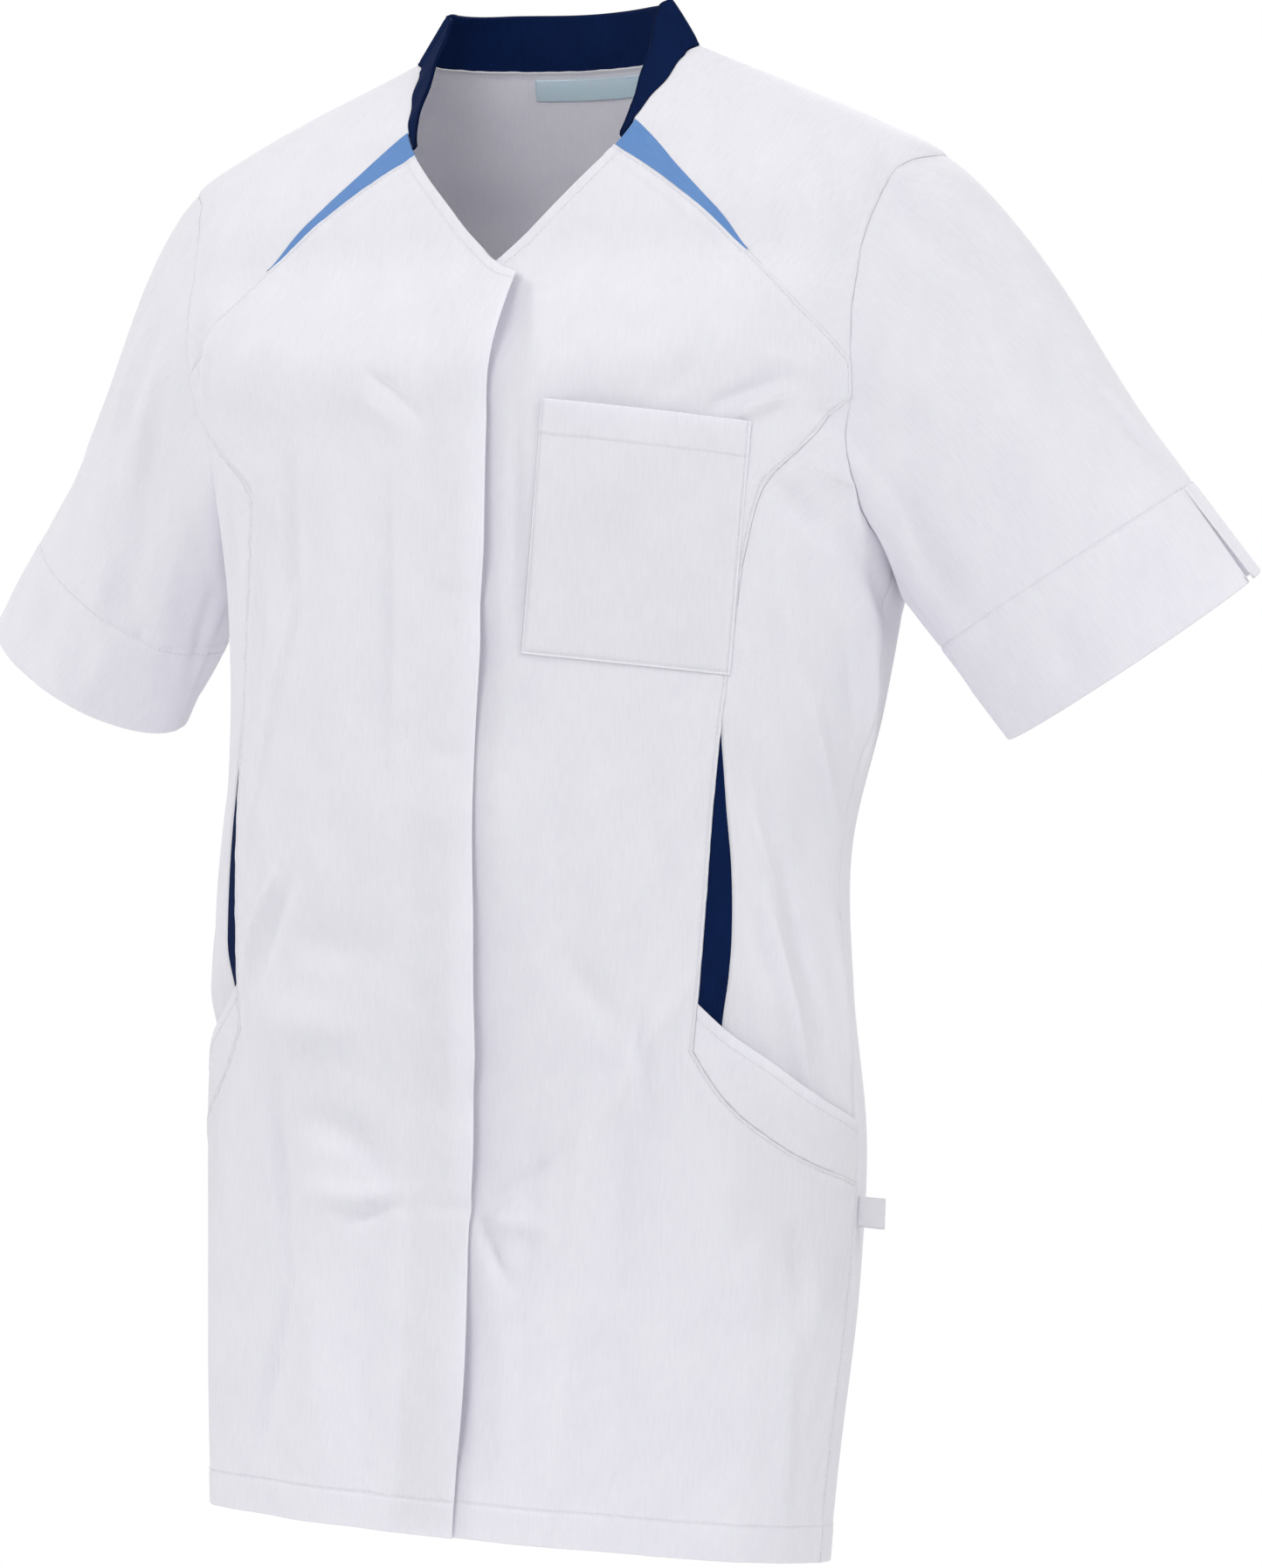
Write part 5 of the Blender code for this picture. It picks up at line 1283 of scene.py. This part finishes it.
# %% [markdown]
# ## Collar
# A stand collar of two layers and a stiff interlining: it leans in at the sides, stands higher over the back
# and tapers to a point on each side of the V neck. It is a profile carried along the neck seam.

# %% Stand collar
COLLAR_LINE = [(COLLAR_TIP, 3), (NECK_SEAM, 9), (NECK_BACK, 10)]
COLLAR_LINE += backwards(other_half(COLLAR_LINE[:2]))
COLLAR_POINTS = 260
COLLAR_RISE = np.array([0, 0.9, 1.6, 2.4, 4, 7, 10.5, 14, 17.5, 21, 24.5, 28, 30, 31.4, 32.4, 33.2, 34]) / 34
# Soft waves of the band: metres from the middle of the back, height as a share, half width, depth in mm.
COLLAR_WAVES = ((-0.150, 0.6, 0.006, -1.4), (-0.128, 0.5, 0.010, 1.4), (-0.090, 0.4, 0.012, -0.8),
                (-0.040, 0.7, 0.014, 0.7), (0.030, 0.3, 0.013, -0.7), (0.095, 0.6, 0.012, 0.8),
                (0.160, 0.3, 0.008, -0.8))


def collar():
    """Height above the seam grows from each tip over a run, and the band leans in more at the sides."""
    places = read_line(COLLAR_LINE, np.linspace(0, steps_of(COLLAR_LINE), COLLAR_POINTS))
    base = surface(places[:, 0], places[:, 1])
    centre = np.array([0.0, base[:, 1].mean(), 0.0])
    inwards = unit((centre - base) * (1, 1, 0))
    travelled = np.concatenate([[0], np.cumsum(np.linalg.norm(np.diff(base, axis=0), axis=1))])
    from_tip = np.minimum(travelled, travelled[-1] - travelled)
    height = STAND_TIP + (STAND - STAND_TIP) * np.clip(from_tip / STAND_RUN, 0, 1)
    back = smooth(np.minimum(places[:, 0], 360 - places[:, 0]), 95, 165)
    lean = np.radians(STAND_LEAN[0] * (1 - back) + STAND_LEAN[1] * back)[:, None]
    rise = np.cos(lean) * np.array([0.0, 0.0, 1.0]) + np.sin(lean) * inwards
    share = COLLAR_RISE[:, None, None]
    grid = base + SEAM_GAP * rise + share * (height[:, None] * rise)[None]
    normal = unit(np.cross(np.gradient(grid, axis=1), np.gradient(grid, axis=0)))
    if (normal * (grid - centre)).sum() < 0:
        normal = -normal
    along = travelled - travelled[-1] / 2
    above, below = (1 - share[..., 0]) * height[None], share[..., 0] * height[None]
    lift = sum(depth / 1000 * np.exp(-((along[None] - at) / half)**2 - ((share[..., 0] - up) / 0.5)**2)
               for at, up, half, depth in COLLAR_WAVES)
    groove = np.exp(-((above - STITCH_IN) / 0.0008)**2) + np.exp(-((below - STITCH_IN) / 0.0008)**2)
    points = grid + normal * (lift * smooth(below, 0, 0.008) - 0.0002 * groove)[..., None]
    uv = np.stack(np.broadcast_arrays(travelled[None], below), -1)
    piece = shell("collar_band", points.reshape(-1, 3), grid_quads(*points.shape[:2]), normal.reshape(-1, 3),
                  uv.reshape(-1, 2), NAVY, COLLAR_CLOTH)
    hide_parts("collar")
    print("collar", len(piece.data.polygons), "quads,", round(float(travelled[-1]), 3), "m long")


collar()

# %% [markdown]
# ## Chest pocket
# A patch pocket is cut flat, turned in all round and sewn on at its sides and foot. Its wide top hem stands off
# a little. It is made on the front's own surface, moved out.

# %% Patch pocket
POCKET_HEM = 0.019
POCKET_STITCH = 0.0018
POCKET_EDGE = np.array([0, 0.6, 1.2, 1.8, 2.5, 3.5, 5.2, 7.5]) / 1000
# Across and down as shares, half width and half height as shares, height in mm.
POCKET_WAVES = ((0.30, 0.00, 0.16, 0.10, 1.6), (0.72, 0.02, 0.16, 0.09, -1.2), (0.92, 0.03, 0.08, 0.08, 1.4),
                (0.55, 0.30, 0.30, 0.22, 0.9), (0.20, 0.60, 0.20, 0.30, -0.7), (0.75, 0.70, 0.22, 0.25, 0.6),
                (0.12, 0.12, 0.08, 0.16, -0.9))


def pocket_shares(length):
    """Shares of a length: close lines at both ends and even ones between."""
    inner = np.arange(0.0105, length - 0.009, GRID)
    return np.concatenate([POCKET_EDGE, inner, length - POCKET_EDGE[::-1]]) / length


def chest_pocket():
    corners = np.array(CHEST_POCKET)
    width, length = (np.linalg.norm((corners[i] - corners[0]) * (DEGREE, 1.0)) for i in (1, 2))
    u, v = pocket_shares(width)[None, :, None], pocket_shares(length)
    v = np.unique(np.concatenate([v, (POCKET_HEM + np.array([-1, 0, 1, 2]) * 0.0009) / length]))[:, None, None]
    places = ((1 - v) * ((1 - u) * corners[0] + u * corners[1]) + v * ((1 - u) * corners[2] + u * corners[3]))
    base, normal = surface(places[..., 0], places[..., 1]), outward(places[..., 0], places[..., 1])
    distances = from_edges(base)
    inside = np.minimum(np.minimum(distances["l"][0], distances["r"][0]), distances["b"][0])
    from_top = distances["t"][0]
    full = np.sin(np.pi * u[..., 0]) * np.cos(np.pi / 2 * v[..., 0])
    out = PATCH_GAP + CLOTH + POCKET_FULLNESS * full + 0.0005 * smooth(inside, 0.002, 0.004)
    out = out + 0.0004 * (1 - smooth(from_top, POCKET_HEM - 0.0002, POCKET_HEM + 0.0012))
    out = out - 0.0004 * np.exp(-((inside - POCKET_STITCH) / 0.0007)**2)
    out = out - 0.0004 * np.exp(-((from_top - POCKET_HEM) / 0.0008)**2)
    for at, down, half, half_down, depth in POCKET_WAVES:
        bell = np.exp(-((u[..., 0] - at) / half)**2 - ((v[..., 0] - down) / half_down)**2)
        out = out + depth / 1000 * bell * smooth(inside, 0.001, 0.012)
    out = out + creases(CREASES, places[..., 0], places[..., 1], DEGREE, 1.0)
    points = base + normal * out[..., None]
    uv = np.stack([distances["l"][0], distances["l"][1]], -1)
    piece = shell("chest_pocket_cloth", points.reshape(-1, 3), grid_quads(*points.shape[:2]), normal.reshape(-1, 3),
                  uv.reshape(-1, 2), WHITE)
    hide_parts("chest_pocket")
    sewn = [(edge, POCKET_STITCH) for edge in "lrb"] + [("t", POCKET_HEM)]
    lines = [(line_inside(points, distances[edge][0], edge, at), line_inside(normal, distances[edge][0], edge, at))
             for edge, at in sewn]
    extra = stitching("chest_pocket_stitches", lines, WHITE_THREAD)
    print("chest pocket", round(width, 3), "by", round(length, 3), "m")


chest_pocket()

# %% [markdown]
# ## Neck label and side tag
# Both are bare woven tapes. The label is sewn inside the back neck by its upper edge, and the tag is a loop of
# tape caught in the side seam, standing straight out.

# %% Label and tag


def neck_label():
    """The back's own first row between two columns, moved in: a band with slanting ends."""
    top_row, low_row = coarse_patch(back_top, pairs(back_hem), BACK_SIDE, other_half(BACK_SIDE))[:2]
    first, last = (shoulder_steps + column for column in LABEL_COLUMNS)
    across = np.linspace(first, last, 61)
    index = np.arange(len(top_row))
    high = np.stack([np.interp(across, index, top_row[:, k]) for k in (0, 1)], -1)
    low = np.stack([np.interp(across, index, low_row[:, k]) for k in (0, 1)], -1)
    share = np.linspace(*LABEL_SPAN, 15)[:, None, None]
    places = high[None] * (1 - share) + low[None] * share
    place, out = surface(places[..., 0], places[..., 1]), outward(places[..., 0], places[..., 1])
    u = np.linspace(0, 1, 61)[None]
    bow = 0.0006 * np.sin(np.pi * share[..., 0]) + 0.0012 * share[..., 0]**2 * np.sin(np.pi * u)**2
    points = place - (WALL + LABEL_GAP + bow)[..., None] * out
    uv = np.stack([np.broadcast_to(u * 0.075, bow.shape), np.broadcast_to(share[..., 0] * 0.02, bow.shape)], -1)
    piece = shell("neck_label_tape", points.reshape(-1, 3), grid_quads(*points.shape[:2]), -out.reshape(-1, 3),
                  uv.reshape(-1, 2), LABEL_TAPE, 0.0008)
    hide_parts("neck_label")
    lines = [(points[1], -out[1])]
    extra = stitching("neck_label_stitches", lines, WHITE_THREAD, 0.0003)
    return points


def side_tag():
    """A folded tape: out from the seam, round a small bend and back, as one closed thin loop."""
    turn, height = TAG_PLACE
    foot = surface(np.array(turn), np.array(height)) + 0.0003 * outward(np.array(turn), np.array(height))
    out = outward(np.array(turn), np.array(height))
    across = np.cross(out, (0.0, 0.0, 1.0))
    u = np.linspace(0, 1, 22)
    v = np.linspace(0, 1, 12)
    reach, drop = np.meshgrid(TAG[0] * u, TAG[1] * v)
    bend = 0.0009 * np.sin(2.2 * u)[None] * (0.4 + 0.6 * v[:, None])
    points = (foot + reach[..., None] * out - drop[..., None] * np.array([0, 0, 1.0])
              + (bend + TAG_CLOTH / 2)[..., None] * across)
    uv = np.stack([reach, drop], -1)
    away = np.broadcast_to(-across, points.shape)
    piece = shell("side_tag_tape", points.reshape(-1, 3), grid_quads(*points.shape[:2]), away.reshape(-1, 3),
                  uv.reshape(-1, 2), TAG_TAPE, 0.0009)
    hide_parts("side_tag")


neck_label()
side_tag()
print("label and tag are bare")

# %% [markdown]
# ## The end
# The cloth has to stay inside the stiff model's own box, apart from a small allowance.

# %% End
print("all pieces built")
